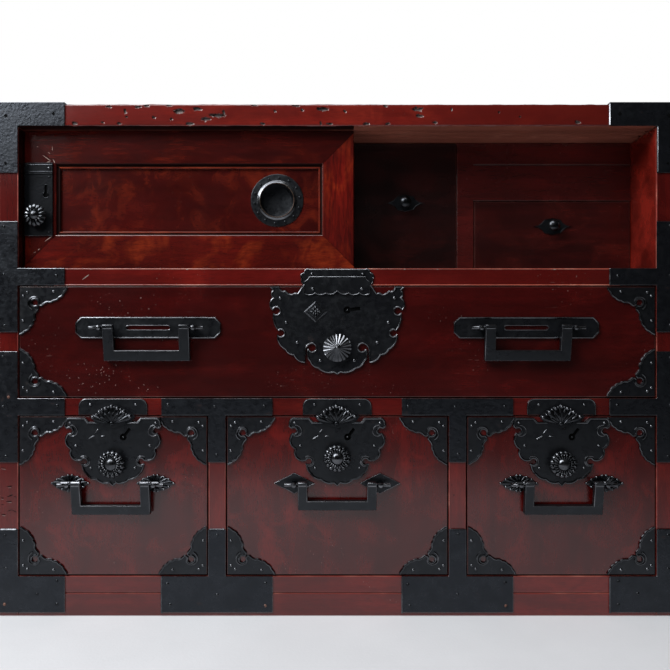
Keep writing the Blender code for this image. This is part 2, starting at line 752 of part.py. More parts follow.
def keyhole(x, z, end_x, end_z, depth):
    """Cutter for a round keyhole with a slot that runs to the end point."""
    way = Vector((end_x - x, end_z - z))
    across = Vector((-way.y, way.x)).normalized() * KEY_SLOT / 2
    start = Vector((x, z))
    end = start + way
    slot = [start + across, start - across, end - across, end + across]
    hole = rod("Y", x, z, depth, KEYHOLE_RADIUS)
    return union(hole, prism([(point.x, point.y) for point in slot], "Y", depth))


def stem_hole():
    """Radius of the round hole that the square button stem runs in."""
    return STEM / math.sqrt(2) + GAP


def lock_plate(shape, x, z, face):
    """Shaped iron plate on a drawer's face, with its crest in front, button hole and keyhole."""
    scale = shape.scale()
    back = face - GAP
    front = back - PLATE_THICK
    plate = prism(placed(both_sides(shape.edge), scale, x, z), "Y", (front, back))
    crest = prism(placed(both_sides(shape.crest), scale, x, z), "Y", (front - CREST_THICK, front + SINK / 2))
    depth = (front - CREST_THICK - GAP, back + GAP)
    key_x, key_z = (scale * value for value in shape.key_place)
    end_x, end_z = (scale * value for value in shape.key_slot_end)
    union(plate, crest)
    cut(plate, rod("Y", x, z + shape.rise, depth, stem_hole(), ROD_SIDES * 2))
    return cut(plate, keyhole(x + key_x, z + key_z, x + end_x, z + end_z, depth))


def button_cap(radius, flutes):
    """Fluted round cap about the Y axis, its flat back at y = 0 and its dome towards -Y."""
    count = flutes * FLUTE_POINTS
    bm = bmesh.new()
    loops = []
    for share, height, depth in BUTTON_RINGS:
        loop = []
        for k in range(count):
            angle = math.tau * k / count
            reach = radius * share * (1 - depth * (1 - math.cos(flutes * angle)) / 2)
            point = (reach * math.cos(angle), -height * BUTTON_HEIGHT, reach * math.sin(angle))
            loop.append(bm.verts.new(point))
        loops.append(loop)
    for near, far in zip(loops, loops[1:]):
        for k in range(count):
            after = (k + 1) % count
            bm.faces.new((near[k], near[after], far[after], far[k]))
    bm.faces.new(loops[0])
    bm.faces.new(loops[-1])
    return solid(bm)


def lock_button(radius, flutes):
    """Push button about its own axis: cap in front, square stem with a slanted end behind the wood's face."""
    cap_back = -GAP - PLATE_THICK - GAP - BUTTON_TRAVEL
    half = STEM / 2
    cap = move(button_cap(radius, flutes), Matrix.Translation((0, cap_back, 0)))
    root = cap_back - SINK
    stem = [(root, -half), (WEDGE_MIDDLE + half, -half), (WEDGE_MIDDLE - half, half), (root, half)]
    return union(cap, prism(stem, "X", (-half, half)))


def lock_bolt(length):
    """Lock bolt over a button's axis: its slanted foot rests on the stem, its head stops at the length."""
    half = STEM / 2
    rest = GAP * math.sqrt(2)
    bolt = [
        (WEDGE_MIDDLE - half, half + rest), (WEDGE_MIDDLE + half, rest - half), (WEDGE_MIDDLE + half, length),
        (WEDGE_MIDDLE - half, length),
    ]
    return prism(bolt, "X", (-BOLT_WIDTH / 2, BOLT_WIDTH / 2))


def lock_pocket(length):
    """Cutter for the room behind a lock plate that holds the stem and the bolt, open at the wood's edge."""
    half = BOLT_WIDTH / 2 + POCKET_CLEAR
    return block((-half, half), (-SEAM, POCKET_DEPTH), (-STEM / 2 - POCKET_CLEAR, length + SEAM))


def build_lock(name, place, turn, edge, radius, flutes, owner):
    """Button and bolt of one lock. Turn takes the bolt's way up to its real way, and edge is its room."""
    there = Matrix.Translation(place) @ turn
    button_body = body(f"{name}_lock_button_slide", place, owner)
    button = move(lock_button(radius, flutes), there)
    finish(button, f"{name}_lock_button", IRON, button_body, smooth=True)
    bolt_body = body(f"{name}_lock_bolt_slide", place, owner)
    bolt = move(lock_bolt(edge - BOLT_SETBACK), there)
    finish(bolt, f"{name}_lock_bolt", BOLT_IRON, bolt_body)


# Handles


def eye_post(x, z, base):
    """Round post with a drilled ball end, from its base plane out to the handle pin's axis."""
    neck = math.asin(POST_RADIUS / EYE_RADIUS)
    turns = [neck + (math.pi - neck) * k / EYE_RINGS for k in range(EYE_RINGS)]
    round_end = [(EYE_RADIUS * math.sin(turn), PIN_LINE + EYE_RADIUS * math.cos(turn)) for turn in turns]
    profile = [(0, base), (POST_RADIUS, base)] + round_end + [(0, PIN_LINE - EYE_RADIUS)]
    place = Matrix.Translation((x, 0, z)) @ Matrix.Rotation(math.pi / ROD_SIDES, 4, "Y")
    post = move(turned(profile, 0, 0, ROD_SIDES), place)
    span = (x - 2 * EYE_RADIUS, x + 2 * EYE_RADIUS)
    return cut(post, rod("X", PIN_LINE, z, span, PIN_RADIUS + BORE_CLEAR))


def eye_offset(bail_width):
    """Distance from a handle's middle to each of its eyes."""
    return bail_width / 2 + EYE_SIDE + EYE_RADIUS


def bail(x, z, width, drop, arm):
    """Swinging handle: a flat-iron U that hangs from two pins."""
    outer = width / 2
    inner = outer - arm
    outline = [
        (-outer, BAIL_HEAD), (-inner, BAIL_HEAD), (-inner, arm - drop), (inner, arm - drop), (inner, BAIL_HEAD),
        (outer, BAIL_HEAD), (outer, -drop), (-outer, -drop),
    ]
    depth = (PIN_LINE - BAIL_THICK / 2, PIN_LINE + BAIL_THICK / 2)
    bar = ease_edges(prism(placed(outline, 1, x, z), "Y", depth), BAIL_EASE)
    pin_end = eye_offset(width) + EYE_RADIUS + PIN_PAST_EYE
    pins = [
        rod("X", PIN_LINE, z, sorted((x + side * (inner + arm / 2), x + side * pin_end)), PIN_RADIUS)
        for side in (-1, 1)
    ]
    return union(bar, *pins)


def handle_plate(x, z):
    """Back plate of a large handle, with cut corners, a long slot and its two eye posts."""
    half = HANDLE_PLATE_WIDTH / 2
    high = HANDLE_PLATE_HEIGHT / 2
    cut_in = HANDLE_PLATE_CHAMFER
    outline = [
        (-half, cut_in - high), (cut_in - half, -high), (half - cut_in, -high), (half, cut_in - high),
        (half, high - cut_in), (half - cut_in, high), (cut_in - half, high), (-half, high - cut_in),
    ]
    front = FRONT - GAP - PLATE_THICK
    plate = prism(outline, "Y", (front, FRONT - GAP))
    slot_wide = HANDLE_SLOT_WIDTH / 2
    slot_high = HANDLE_SLOT_HEIGHT / 2
    cut(plate, block((-slot_wide, slot_wide), (front - GAP, FRONT), (-slot_high, slot_high)))
    reach = eye_offset(LARGE_BAIL_WIDTH)
    union(plate, *[eye_post(side * reach, 0, front + SINK) for side in (-1, 1)])
    return move(plate, Matrix.Translation((x, 0, z)))


def rosette(x, z, edge):
    """Eye post on its plate, which is given by the right half of its outline."""
    outline = both_sides(edge)
    scale = ROSETTE_WIDTH / (2 * max(point[0] for point in outline))
    plate = prism(placed(outline, scale, 0, 0), "Y", (FRONT - PLATE_THICK, FRONT + SINK))
    union(plate, eye_post(0, 0, FRONT))
    return move(plate, Matrix.Translation((x, 0, z)))


# Drawers


def corner_plate(x, z, side, rise):
    """Corner plate in the drawer corner at x, z, whose legs run towards side and rise."""
    outline = [(0, 0)] + curve(CORNER_EDGE)
    scale = CORNER_LEG / max(point[0] for point in outline)
    points = [(x + side * scale * u, z + rise * scale * v) for u, v in outline]
    return prism(points, "Y", (FRONT - CORNER_THICK, FRONT + SINK))


def drawer_front(x_span, z_span, lock_x, shape, fittings, spaces):
    """Drawer front with its lock pocket, corner plates and other fixed fittings."""
    front = block(x_span, (FRONT, FRONT + FRONT_THICK), z_span)
    low, high = z_span
    button = Matrix.Translation((lock_x, FRONT, high - shape.button_drop()))
    cut(front, move(lock_pocket(shape.button_drop()), button))
    lock_half = shape.width / 2 + SEAM
    spaces = spaces + [(lock_x - lock_half, lock_x + lock_half)]
    depth = (FRONT - PLATE_THICK, FRONT + SEAM)
    for x, side in zip(x_span, (1, -1)):
        upper = corner_plate(x, high, side, -1)
        cut(upper, *[block(span, depth, ((low + high) / 2, high + SEAM)) for span in spaces])
        union(front, upper, corner_plate(x, low, side, 1))
    return union(front, *fittings)


def drawer_tray(x_span, z_span):
    """Open tray behind a drawer front."""
    y_span = (FRONT + FRONT_THICK + GAP, INNER_BACK - DRAWER_END)
    return open_box(x_span, y_span, z_span, TRAY_WALL, TRAY_FLOOR)


def build_drawer(name, x_span, opening, shape, fittings, spaces, case):
    """One outer drawer without its handles: front, tray and lock. Returns its body."""
    low, high = opening
    z_span = (low + SEAM, high - SEAM)
    fronts = (x_span[0] + SEAM, x_span[1] - SEAM)
    middle = sum(x_span) / 2
    owner = body(f"{name}_slide", (middle, FRONT, low), case)
    front = drawer_front(fronts, z_span, middle, shape, fittings, spaces)
    finish(front, f"{name}_front", LACQUER, owner)
    tray = drawer_tray(fronts, (low + GAP, z_span[1] - TRAY_DROP))
    finish(tray, f"{name}_tray", RAW_WOOD, owner)
    finish(lock_plate(shape, middle, z_span[1] - shape.drop, FRONT), f"{name}_lock_plate", IRON, owner)
    drop = shape.button_drop()
    place = Vector((middle, FRONT, z_span[1] - drop))
    build_lock(name, place, Matrix.Identity(4), drop, shape.button_radius, shape.flutes, owner)
    return owner


def build_large_drawer(case):
    """Full-width drawer with two handles on plates."""
    handle_z = SILL_LOW - SEAM - LARGE_HANDLE_DROP
    middle = LARGE_HANDLE_SHARE * INNER_HALF
    middles = {"left": -middle, "right": middle}
    half = HANDLE_PLATE_WIDTH / 2 + SEAM
    spaces = [(x - half, x + half) for x in middles.values()]
    opening = (LARGE_LOW, SILL_LOW)
    owner = build_drawer("large_drawer", (-INNER_HALF, INNER_HALF), opening, large_lock(), [], spaces, case)
    for side, x in middles.items():
        finish(handle_plate(x, handle_z), f"large_drawer_handle_plate_{side}", IRON, owner)
        swing = body(f"large_drawer_bail_{side}_swing", (x, PIN_LINE, handle_z), owner)
        handle = bail(x, handle_z, LARGE_BAIL_WIDTH, LARGE_BAIL_DROP, LARGE_BAIL_ARM)
        finish(handle, f"large_drawer_bail_{side}", IRON, swing)


def build_small_drawers(case):
    """Three drawers side by side, each with one handle between two rosettes."""
    handle_z = MIDDLE_RAIL_LOW - SEAM - SMALL_HANDLE_DROP
    opening = (SMALL_LOW, MIDDLE_RAIL_LOW)
    reach = eye_offset(SMALL_BAIL_WIDTH)
    for side, x in drawer_middles().items():
        name = f"{side}_drawer"
        central = side == "middle"
        half = POST_INNER if central else (INNER_HALF - POST_OUTER) / 2
        eyes = [x - reach, x + reach]
        edge = DIAMOND_EDGE if central else LEAF_EDGE
        fittings = [rosette(eye, handle_z, edge) for eye in eyes]
        lock = small_lock(MIDDLE_BUTTON_RISE if central else 0.0)
        owner = build_drawer(name, (x - half, x + half), opening, lock, fittings, [], case)
        swing = body(f"{name}_bail_swing", (x, PIN_LINE, handle_z), owner)
        drop = MIDDLE_BAIL_DROP if central else SMALL_BAIL_DROP
        handle = bail(x, handle_z, SMALL_BAIL_WIDTH, drop, SMALL_BAIL_ARM)
        finish(handle, f"{name}_bail", IRON, swing)


def knob(x, z):
    """Turned knob on a small diamond plate."""
    profile = [
        (0, INNER_FACE + SINK), (KNOB_FOOT, INNER_FACE + SINK), (KNOB_FOOT, INNER_FACE - KNOB_NECK),
        (KNOB_RADIUS, INNER_FACE - KNOB_BELLY), (KNOB_FACE, INNER_FACE - KNOB_SHOULDER),
        (0, INNER_FACE - KNOB_LENGTH),
    ]
    wide = KNOB_PLATE_WIDTH / 2
    diamond = [(0, KNOB_RADIUS), (wide, 0), (0, -KNOB_RADIUS), (-wide, 0)]
    plate = prism(placed(diamond, 1, x, z), "Y", (INNER_FACE - PLATE_THICK, INNER_FACE + SINK))
    return union(turned(profile, x, z, ROD_SIDES), plate)


def build_inner_drawers(case):
    """Tall and low drawers behind the doors, each a front and a tray with a knob."""
    sizes = {
        "inner_tall_drawer": ((TALL_LEFT, TALL_RIGHT), (DOOR_LOW + SEAM, DOOR_HIGH - SEAM)),
        "inner_low_drawer": ((LOW_LEFT, LOW_RIGHT), (DOOR_LOW + SEAM, DOOR_LOW + LOW_HEIGHT - SEAM)),
    }
    for name, (x_span, z_span) in sizes.items():
        middle = sum(x_span) / 2
        owner = body(f"{name}_slide", (middle, INNER_FACE, DOOR_LOW), case)
        front = block(x_span, (INNER_FACE, INNER_FACE + INNER_FRONT_THICK), z_span)
        y_span = (INNER_FACE + INNER_FRONT_THICK - SINK, INNER_BACK - DRAWER_END)
        tray = open_box(x_span, y_span, (DOOR_LOW + GAP, z_span[1] - TRAY_DROP), TRAY_WALL, TRAY_FLOOR)
        union(front, tray, knob(middle, sum(z_span) / 2))
        finish(front, name, LACQUER, owner)


# Doors


def door_rectangles():
    """Outer edge and panel opening of a door at the left end of its groove, as (x, z) spans."""
    outer = ((DOOR_LEFT, DOOR_RIGHT), (DOOR_LOW + DOOR_FREE, DOOR_HIGH - DOOR_FREE))
    (left, right), (low, high) = outer
    opening = ((left + STILE_WIDTH, right - STILE_WIDTH), (low + DOOR_RAIL_WIDTH, high - DOOR_RAIL_WIDTH))
    return outer, opening


def door_lock_place():
    """Centre of the door's lock button, on the door's face."""
    (left, right), (low, high) = door_rectangles()[0]
    z = (low + high) / 2 - DOOR_LOCK_HEIGHT / 2 + DOOR_LOCK_BELOW
    return Vector((left + DOOR_LOCK_INSET, FRONT_DOOR_FACE, z))


def door_frame(face):
    """Mitred frame with a bead round its opening, a groove for the panel and tongues above and below."""
    outer, opening = door_rectangles()
    groove = (PANEL_SETBACK - GAP, PANEL_SETBACK + PANEL_THICK + GAP)
    # Each point is (distance from the opening's edge, depth), with None for the frame's outer edge.
    profile = [(None, 0)] + [(BEAD * share, BEAD * depth) for share, depth in BEAD_PROFILE]
    profile += [(0, groove[0]), (PANEL_LAP, groove[0]), (PANEL_LAP, groove[1]), (0, groove[1])]
    profile += [(0, DOOR_THICK), (None, DOOR_THICK)]
    bm = bmesh.new()
    corners = []
    for x_end, z_end in ((0, 0), (1, 0), (1, 1), (0, 1)):
        ring = []
        for inset, depth in profile:
            if inset is None:
                x, z = outer[0][x_end], outer[1][z_end]
            else:
                x = opening[0][x_end] + inset * (2 * x_end - 1)
                z = opening[1][z_end] + inset * (2 * z_end - 1)
            ring.append(bm.verts.new((x, face + depth, z)))
        corners.append(ring)
    count = len(profile)
    for here, there in zip(corners, corners[1:] + corners[:1]):
        for k in range(count):
            after = (k + 1) % count
            bm.faces.new((here[k], there[k], there[after], here[after]))
    frame = solid(bm)
    middle = face + DOOR_THICK / 2
    depth = (middle - TONGUE_THICK / 2, middle + TONGUE_THICK / 2)
    foot = block(outer[0], depth, (DOOR_LOW - SILL_GROOVE + GAP, outer[1][0] + SINK))
    head = block(outer[0], depth, (outer[1][1] - SINK, DOOR_HIGH + HEAD_GROOVE - LIFT_OUT))
    return union(frame, foot, head)


def cup_place():
    """Centre of a door's cup pull on X and Z."""
    (left, right), (low, high) = door_rectangles()[1]
    return right - CUP_INSET, (low + high) / 2


def door_panel(face, hole):
    """Flat panel held in the frame's groove, with a round hole for the cup pull."""
    (left, right), (low, high) = door_rectangles()[1]
    lap = PANEL_LAP - GAP
    depth = (face + PANEL_SETBACK, face + PANEL_SETBACK + PANEL_THICK)
    panel = block((left - lap, right + lap), depth, (low - lap, high + lap))
    x, z = cup_place()
    return cut(panel, rod("Y", x, z, (depth[0] - SEAM, depth[1] + SEAM), hole, ROUND_SIDES))


def cup_pull(face, gap):
    """Round pull: a flange with a raised rim, and a cup that passes through the panel."""
    seat = face + PANEL_SETBACK - gap
    lip = seat - PLATE_THICK
    rim = lip - PLATE_THICK
    back = seat + CUP_DEPTH
    profile = [
        (0, back + CUP_WALL), (CUP_MOUTH + CUP_WALL, back + CUP_WALL), (CUP_MOUTH + CUP_WALL, seat),
        (CUP_RADIUS, seat), (CUP_RADIUS, rim), (CUP_RADIUS - 2 * PLATE_THICK, rim),
        (CUP_RADIUS - 3 * PLATE_THICK, lip), (CUP_MOUTH + 3 * CUP_WALL, lip), (CUP_MOUTH + 2 * CUP_WALL, rim),
        (CUP_MOUTH, rim), (CUP_MOUTH, back), (0, back),
    ]
    return turned(profile, *cup_place())


def door_lock_plate():
    """Plain lock plate on the front door's outer stile, with a moulded band across its top."""
    place = door_lock_place()
    left = DOOR_LEFT + DOOR_FREE
    right = left + DOOR_LOCK_WIDTH
    low = place.z - DOOR_LOCK_BELOW
    high = low + DOOR_LOCK_HEIGHT
    back = FRONT_DOOR_FACE - GAP
    front = back - PLATE_THICK
    plate = block((left, right), (front, back), (low, high))
    band = block((left, right), (front - CREST_THICK, front + SINK), (high - DOOR_LOCK_BAND, high))
    union(plate, band)
    depth = (front - CREST_THICK - GAP, back + GAP)
    key_x = right - DOOR_KEY_INSET
    key_z = low + DOOR_KEY_BELOW
    cut(plate, rod("Y", place.x, place.z, depth, stem_hole(), ROD_SIDES * 2))
    return cut(plate, keyhole(key_x, key_z, key_x, key_z + DOOR_KEY_SLOT, depth))


def build_doors(case):
    """Front door with its lock and cup pull, and the plain rear door behind it."""
    owner = body("front_door_slide", (DOOR_LEFT, FRONT_DOOR_FACE, DOOR_LOW), case)
    place = door_lock_place()
    sideways = Matrix.Rotation(-math.pi / 2, 4, "Y")
    frame = door_frame(FRONT_DOOR_FACE)
    cut(frame, move(lock_pocket(DOOR_LOCK_INSET), Matrix.Translation(place) @ sideways))
    finish(frame, "front_door_frame", FIGURED, owner)
    hole = CUP_MOUTH + CUP_WALL + GAP
    finish(door_panel(FRONT_DOOR_FACE, hole), "front_door_panel", FIGURED, owner)
    finish(cup_pull(FRONT_DOOR_FACE, GAP), "front_door_cup_pull", IRON, owner, smooth=True)
    finish(door_lock_plate(), "front_door_lock_plate", IRON, owner)
    build_lock("front_door", place, sideways, DOOR_LOCK_INSET, DOOR_BUTTON_RADIUS, DOOR_FLUTES, owner)

    rear = body("rear_door_slide", (DOOR_LEFT, REAR_DOOR_FACE, DOOR_LOW), case)
    finish(door_frame(REAR_DOOR_FACE), "rear_door_frame", FIGURED, rear)
    panel = door_panel(REAR_DOOR_FACE, CUP_MOUTH + CUP_WALL / 2)
    finish(union(panel, cup_pull(REAR_DOOR_FACE, -SINK)), "rear_door_panel", FIGURED, rear)


def main():
    """Build the chest at rest: drawers in, both doors at the left, handles hanging and bolts down."""
    clear_scene()
    case = body("case")
    build_carcass(case)
    build_irons(case)
    build_doors(case)
    build_inner_drawers(case)
    build_large_drawer(case)
    build_small_drawers(case)


if __name__ == "__main__":
    main()
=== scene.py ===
"""Looks of an iron-bound lacquered chest: worn red lacquer, forged black iron, pierced locks and old nails.

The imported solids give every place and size. Boards, straps, trays and bolts keep their solids and get better
surfaces. Drawer fronts, locks, buttons, handles, doors and small fittings are rebuilt here with finer shapes,
in the same places and on the same moving bodies.
"""

import logging
import math
import random
from dataclasses import dataclass
from enum import Enum
from typing import Any, Sequence

import bmesh
import bpy
from mathutils import Matrix, Vector, noise

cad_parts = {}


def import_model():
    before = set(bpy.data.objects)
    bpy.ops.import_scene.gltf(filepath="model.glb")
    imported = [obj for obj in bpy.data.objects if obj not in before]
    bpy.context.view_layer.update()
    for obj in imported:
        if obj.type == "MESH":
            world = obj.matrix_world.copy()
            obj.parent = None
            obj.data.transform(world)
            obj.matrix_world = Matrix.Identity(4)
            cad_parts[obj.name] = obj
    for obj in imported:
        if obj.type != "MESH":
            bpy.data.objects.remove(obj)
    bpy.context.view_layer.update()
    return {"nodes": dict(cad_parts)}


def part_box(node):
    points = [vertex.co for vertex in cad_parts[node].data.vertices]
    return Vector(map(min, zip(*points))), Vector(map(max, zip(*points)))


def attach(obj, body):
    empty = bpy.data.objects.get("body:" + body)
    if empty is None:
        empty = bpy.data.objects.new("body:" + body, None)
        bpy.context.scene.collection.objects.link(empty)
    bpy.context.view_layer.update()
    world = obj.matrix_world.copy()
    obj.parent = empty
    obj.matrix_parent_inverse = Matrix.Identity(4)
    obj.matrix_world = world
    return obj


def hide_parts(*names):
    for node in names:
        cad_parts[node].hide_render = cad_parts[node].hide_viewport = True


LOG = logging.getLogger("chest")
MM = 0.001
SIDES = (-1, 1)
SMOOTH_ANGLE = math.radians(38)
Colour = tuple[float, float, float]
Outline = list[tuple[float, float]]
Span = tuple[float, float]
Part = bmesh.types.BMesh


def meshed(part: Part, name: str) -> bpy.types.Mesh:
    """Turn a part, which is used up, into a mesh.

    Args:
        part: The part.
        name: Name of the mesh.

    Returns:
        The mesh.
    """
    mesh = bpy.data.meshes.new(name)
    part.to_mesh(mesh)
    part.free()
    return mesh


def linked(name: str, data: Any) -> bpy.types.Object:
    """Bring an object into the scene.

    Args:
        name: Its name.
        data: What it shows.

    Returns:
        The object.
    """
    item = bpy.data.objects.new(name, data)
    bpy.context.scene.collection.objects.link(item)
    return item


# Shader wiring


def rgba(colour: Colour) -> tuple[float, float, float, float]:
    """Give a colour its full opacity."""
    return (*colour, 1.0)


class Wiring:
    """Short way to add and join the nodes of one tree."""

    def __init__(self, tree: bpy.types.NodeTree) -> None:
        """Keep the tree that the nodes go into."""
        self.tree = tree

    def feed(self, socket: bpy.types.NodeSocket, value: Any) -> None:
        """Link a socket to another one, or set its value."""
        if isinstance(value, bpy.types.NodeSocket):
            self.tree.links.new(value, socket)
        else:
            socket.default_value = value

    def add(self, kind: str, inputs: dict | None = None, **settings: Any) -> bpy.types.Node:
        """Add a shader node.

        Args:
            kind: Node type without its common prefix.
            inputs: Socket name or number, with a value or the socket that feeds it.
            settings: Other properties of the node.

        Returns:
            The new node.
        """
        node = self.tree.nodes.new("ShaderNode" + kind)
        for key, value in settings.items():
            setattr(node, key, value)
        for key, value in (inputs or {}).items():
            self.feed(node.inputs[key], value)
        return node

    def noise(
        self, vector: Any, scale: float, detail: float = 3.0, rough: float = 0.55, bend: float = 0.0
    ) -> Any:
        """Noise value over a vector."""
        inputs = {"Vector": vector, "Scale": scale, "Detail": detail, "Roughness": rough, "Distortion": bend}
        return self.add("TexNoise", inputs).outputs["Fac"]

    def stretch(self, vector: Any, scale: Sequence[float], turn: Sequence[float] = (0, 0, 0)) -> Any:
        """Scale a vector and turn it."""
        return self.add("Mapping", {"Vector": vector, "Scale": scale, "Rotation": turn}).outputs["Vector"]

    def step(self, value: Any, low: float, high: float) -> Any:
        """Soft step of a value, from 0 at low to 1 at high."""
        inputs = {"Value": value, "From Min": low, "From Max": high}
        return self.add("MapRange", inputs, interpolation_type="SMOOTHSTEP").outputs["Result"]

    def span(self, value: Any, low: float, high: float) -> Any:
        """Carry a value from 0..1 to low..high."""
        return self.add("MapRange", {"Value": value, "To Min": low, "To Max": high}).outputs["Result"]

    def math(self, operation: str, first: Any, second: Any = 0.0) -> Any:
        """One operation on two values, or on the first alone."""
        return self.add("Math", {0: first, 1: second}, operation=operation).outputs[0]

    def times(self, first: Any, second: Any) -> Any:
        """Product of two values."""
        return self.math("MULTIPLY", first, second)

    def plus(self, first: Any, second: Any) -> Any:
        """Sum of two values."""
        return self.math("ADD", first, second)

    def less(self, first: Any, second: Any) -> Any:
        """First value less the second."""
        return self.math("SUBTRACT", first, second)

    def most(self, first: Any, second: Any) -> Any:
        """Larger of two values."""
        return self.math("MAXIMUM", first, second)

    def parts(self, vector: Any) -> Any:
        """The three parts of a vector, by name."""
        return self.add("SeparateXYZ", {0: vector}).outputs

    def blend(self, share: Any, first: Any, second: Any) -> Any:
        """Mix two colours, of which the second has the share."""
        return self.add("Mix", {0: share, 6: first, 7: second}, data_type="RGBA").outputs[2]

    def place(self, turn: Sequence[float] = (0, 0, 0)) -> Any:
        """The piece's own coordinates, turned."""
        return self.stretch(self.add("TexCoord").outputs["Object"], (1, 1, 1), turn)

    def shader(self, constants: dict, links: dict, height: Any, depth: float) -> None:
        """Finish a material with its shader and bump.

        Args:
            constants: Values of the shader that are the same all over.
            links: Sockets that change over the surface.
            height: Height of the fine relief.
            depth: Depth of the relief in metres.
        """
        bump = self.add("Bump", {"Height": height, "Strength": 1.0, "Distance": depth})
        links = {**constants, **links, "Normal": bump.outputs["Normal"]}
        body = self.add("BsdfPrincipled", links)
        self.add("OutputMaterial", {"Surface": body.outputs["BSDF"]})


class Effect(Enum):
    """Surface effects that several finishes share, each one node group."""

    GRAIN = "lacquer_grain"
    MARKS = "rubbed_marks"
    FORGED = "forged_skin"

    def group(self) -> bpy.types.NodeTree:
        """Return the node group of this effect, built once.

        Returns:
            The node group.
        """
        found = bpy.data.node_groups.get(self.value)
        if found:
            return found
        tree = bpy.data.node_groups.new(self.value, "ShaderNodeTree")
        builders = {Effect.GRAIN: build_grain, Effect.MARKS: build_marks, Effect.FORGED: build_forged}
        builders[self](tree)
        return tree

    def fed(self, wiring: Wiring, inputs: dict) -> bpy.types.Node:
        """Place the effect and feed its inputs."""
        return wiring.add("Group", inputs, node_tree=self.group())


def sockets(tree: bpy.types.NodeTree, given: dict[str, str], put: dict[str, str]) -> tuple[Wiring, Any, Any]:
    """Make a group's named sockets.

    Args:
        tree: The node group.
        given: Input names with their kinds.
        put: Output names with their kinds.

    Returns:
        The wiring, the outputs of the group's input node and the inputs of its output node.
    """
    for names, way in ((given, "INPUT"), (put, "OUTPUT")):
        for name, kind in names.items():
            tree.interface.new_socket(name=name, in_out=way, socket_type="NodeSocket" + kind)
    start = tree.nodes.new("NodeGroupInput")
    end = tree.nodes.new("NodeGroupOutput")
    return Wiring(tree), start.outputs, end.inputs


def build_grain(tree: bpy.types.NodeTree) -> None:
    """Wood under clear lacquer, with its grain along X: streaks, patches crossed by ripples, and pores.

    Args:
        tree: The empty node group.
    """
    given = {"Vector": "Vector", "Deep": "Color", "Mid": "Color", "Light": "Color"}
    given |= {"Figure": "Float", "Ripple": "Float"}
    w, start, end = sockets(tree, given, {"Color": "Color", "Height": "Float"})
    here = start["Vector"]
    streaks = w.step(w.noise(w.stretch(here, (3.2, 38, 38)), 1.0, 5.0, 0.62), 0.34, 0.68)
    drift = w.step(w.noise(here, 7.0, 3.0), 0.3, 0.72)
    patches = w.step(w.noise(w.stretch(here, (15, 24, 24)), 1.0, 4.0, 0.6, 0.9), 0.44, 0.72)
    ripples = w.step(w.noise(w.stretch(here, (30, 260, 260)), 1.0, 3.0, 0.55, 0.7), 0.36, 0.64)
    pores = w.step(w.noise(w.stretch(here, (90, 1300, 1300)), 1.0, 1.0), 0.5, 0.72)
    tone = w.times(w.span(streaks, 0.25, 1.0), w.span(drift, 0.4, 1.0))
    dim = w.times(w.less(1.0, ripples), start["Ripple"])
    tone = w.times(tone, w.less(1.0, dim))
    colour = w.blend(tone, start["Deep"], start["Mid"])
    glow = w.times(patches, w.less(1.0, w.times(dim, 1.2)))
    glow = w.times(w.times(glow, w.span(drift, 0.3, 1.0)), start["Figure"])
    colour = w.blend(glow, colour, start["Light"])
    colour = w.blend(w.times(pores, 0.5), colour, start["Deep"])
    w.feed(end["Color"], colour)
    w.feed(end["Height"], w.less(w.times(streaks, 0.35), w.times(pores, 0.5)))


def build_marks(tree: bpy.types.NodeTree) -> None:
    """Use marks: pale specks and short scratches, crowded in some places and absent in others.

    Args:
        tree: The empty node group.
    """
    w, start, end = sockets(tree, {"Vector": "Vector", "Amount": "Float"}, {"Mask": "Float"})
    here = start["Vector"]
    crowd = w.step(w.noise(here, 13.0, 2.0), 0.54, 0.72)
    cells = w.add("TexVoronoi", {"Vector": here, "Scale": 260.0})
    size = w.times(w.add("SeparateColor", {0: cells.outputs["Color"]}).outputs[0], 0.22)
    speck = w.step(w.less(size, cells.outputs["Distance"]), 0.02, 0.1)
    slanted = w.stretch(here, (60, 60, 900), (0, 0.9, 0))
    scratch = w.step(w.noise(slanted, 1.0, 1.0), 0.76, 0.79)
    scratch = w.times(scratch, w.span(crowd, 0.0, 0.6))
    marks = w.most(w.times(speck, crowd), scratch)
    w.feed(end["Mask"], w.times(marks, start["Amount"]))


def build_forged(tree: bpy.types.NodeTree) -> None:
    """Hammered sheet iron with a black skin: soft dents, mottled tone and a few rusty places.

    Args:
        tree: The empty node group.
    """
    given = {"Vector": "Vector", "Dark": "Color", "Pale": "Color", "Rust": "Float"}
    w, start, end = sockets(tree, given, {"Color": "Color", "Gloss": "Float", "Height": "Float"})
    here = start["Vector"]
    mottle = w.step(w.noise(here, 42.0, 6.0, 0.65), 0.35, 0.7)
    dents = w.add("TexVoronoi", {"Vector": here, "Scale": 62.0, "Smoothness": 0.9}, feature="SMOOTH_F1")
    blotch = w.step(w.noise(here, 150.0, 4.0, 0.65), 0.36, 0.66)
    grit = w.noise(here, 260.0, 4.0, 0.6)
    rusty = w.times(w.step(w.noise(here, 75.0, 5.0, 0.7), 0.64, 0.72), start["Rust"])
    colour = w.blend(mottle, start["Dark"], start["Pale"])
    colour = w.blend(rusty, colour, rgba(RUST_TONE))
    w.feed(end["Color"], colour)
    uneven = w.less(w.times(blotch, 0.12), w.times(mottle, 0.14))
    w.feed(end["Gloss"], w.plus(uneven, w.times(rusty, 0.25)))
    relief = w.plus(w.times(dents.outputs["Distance"], 0.8), w.times(grit, 1.5))
    w.feed(end["Height"], relief)


# Finishes


RUST_TONE = (0.075, 0.028, 0.014)
# Chips: bare wood in the hollow, a pale lower lip that is partly bare wood and partly painted highlight, and
# painted shadow in the upper part
HOLLOW_TONE = (0.045, 0.012, 0.009)
HOLLOW_LIT_LIP_TONE = (0.2, 0.15, 0.135)
HOLLOW_SHADE_TONE = (0.008, 0.006, 0.006)
# Places in metres over which the painted shade grows towards the right end, and at which the painted tone of
# the door bay starts inside its wall and its mouth
FALLOFF_SHADE_RUN = (-0.2, 0.4)
BAY_WALL = (0.4152, 0.4168)
BAY_MOUTH = (-0.2062, -0.2046)
BAY_SHARE = 0.88
BAY_DULL = 0.3


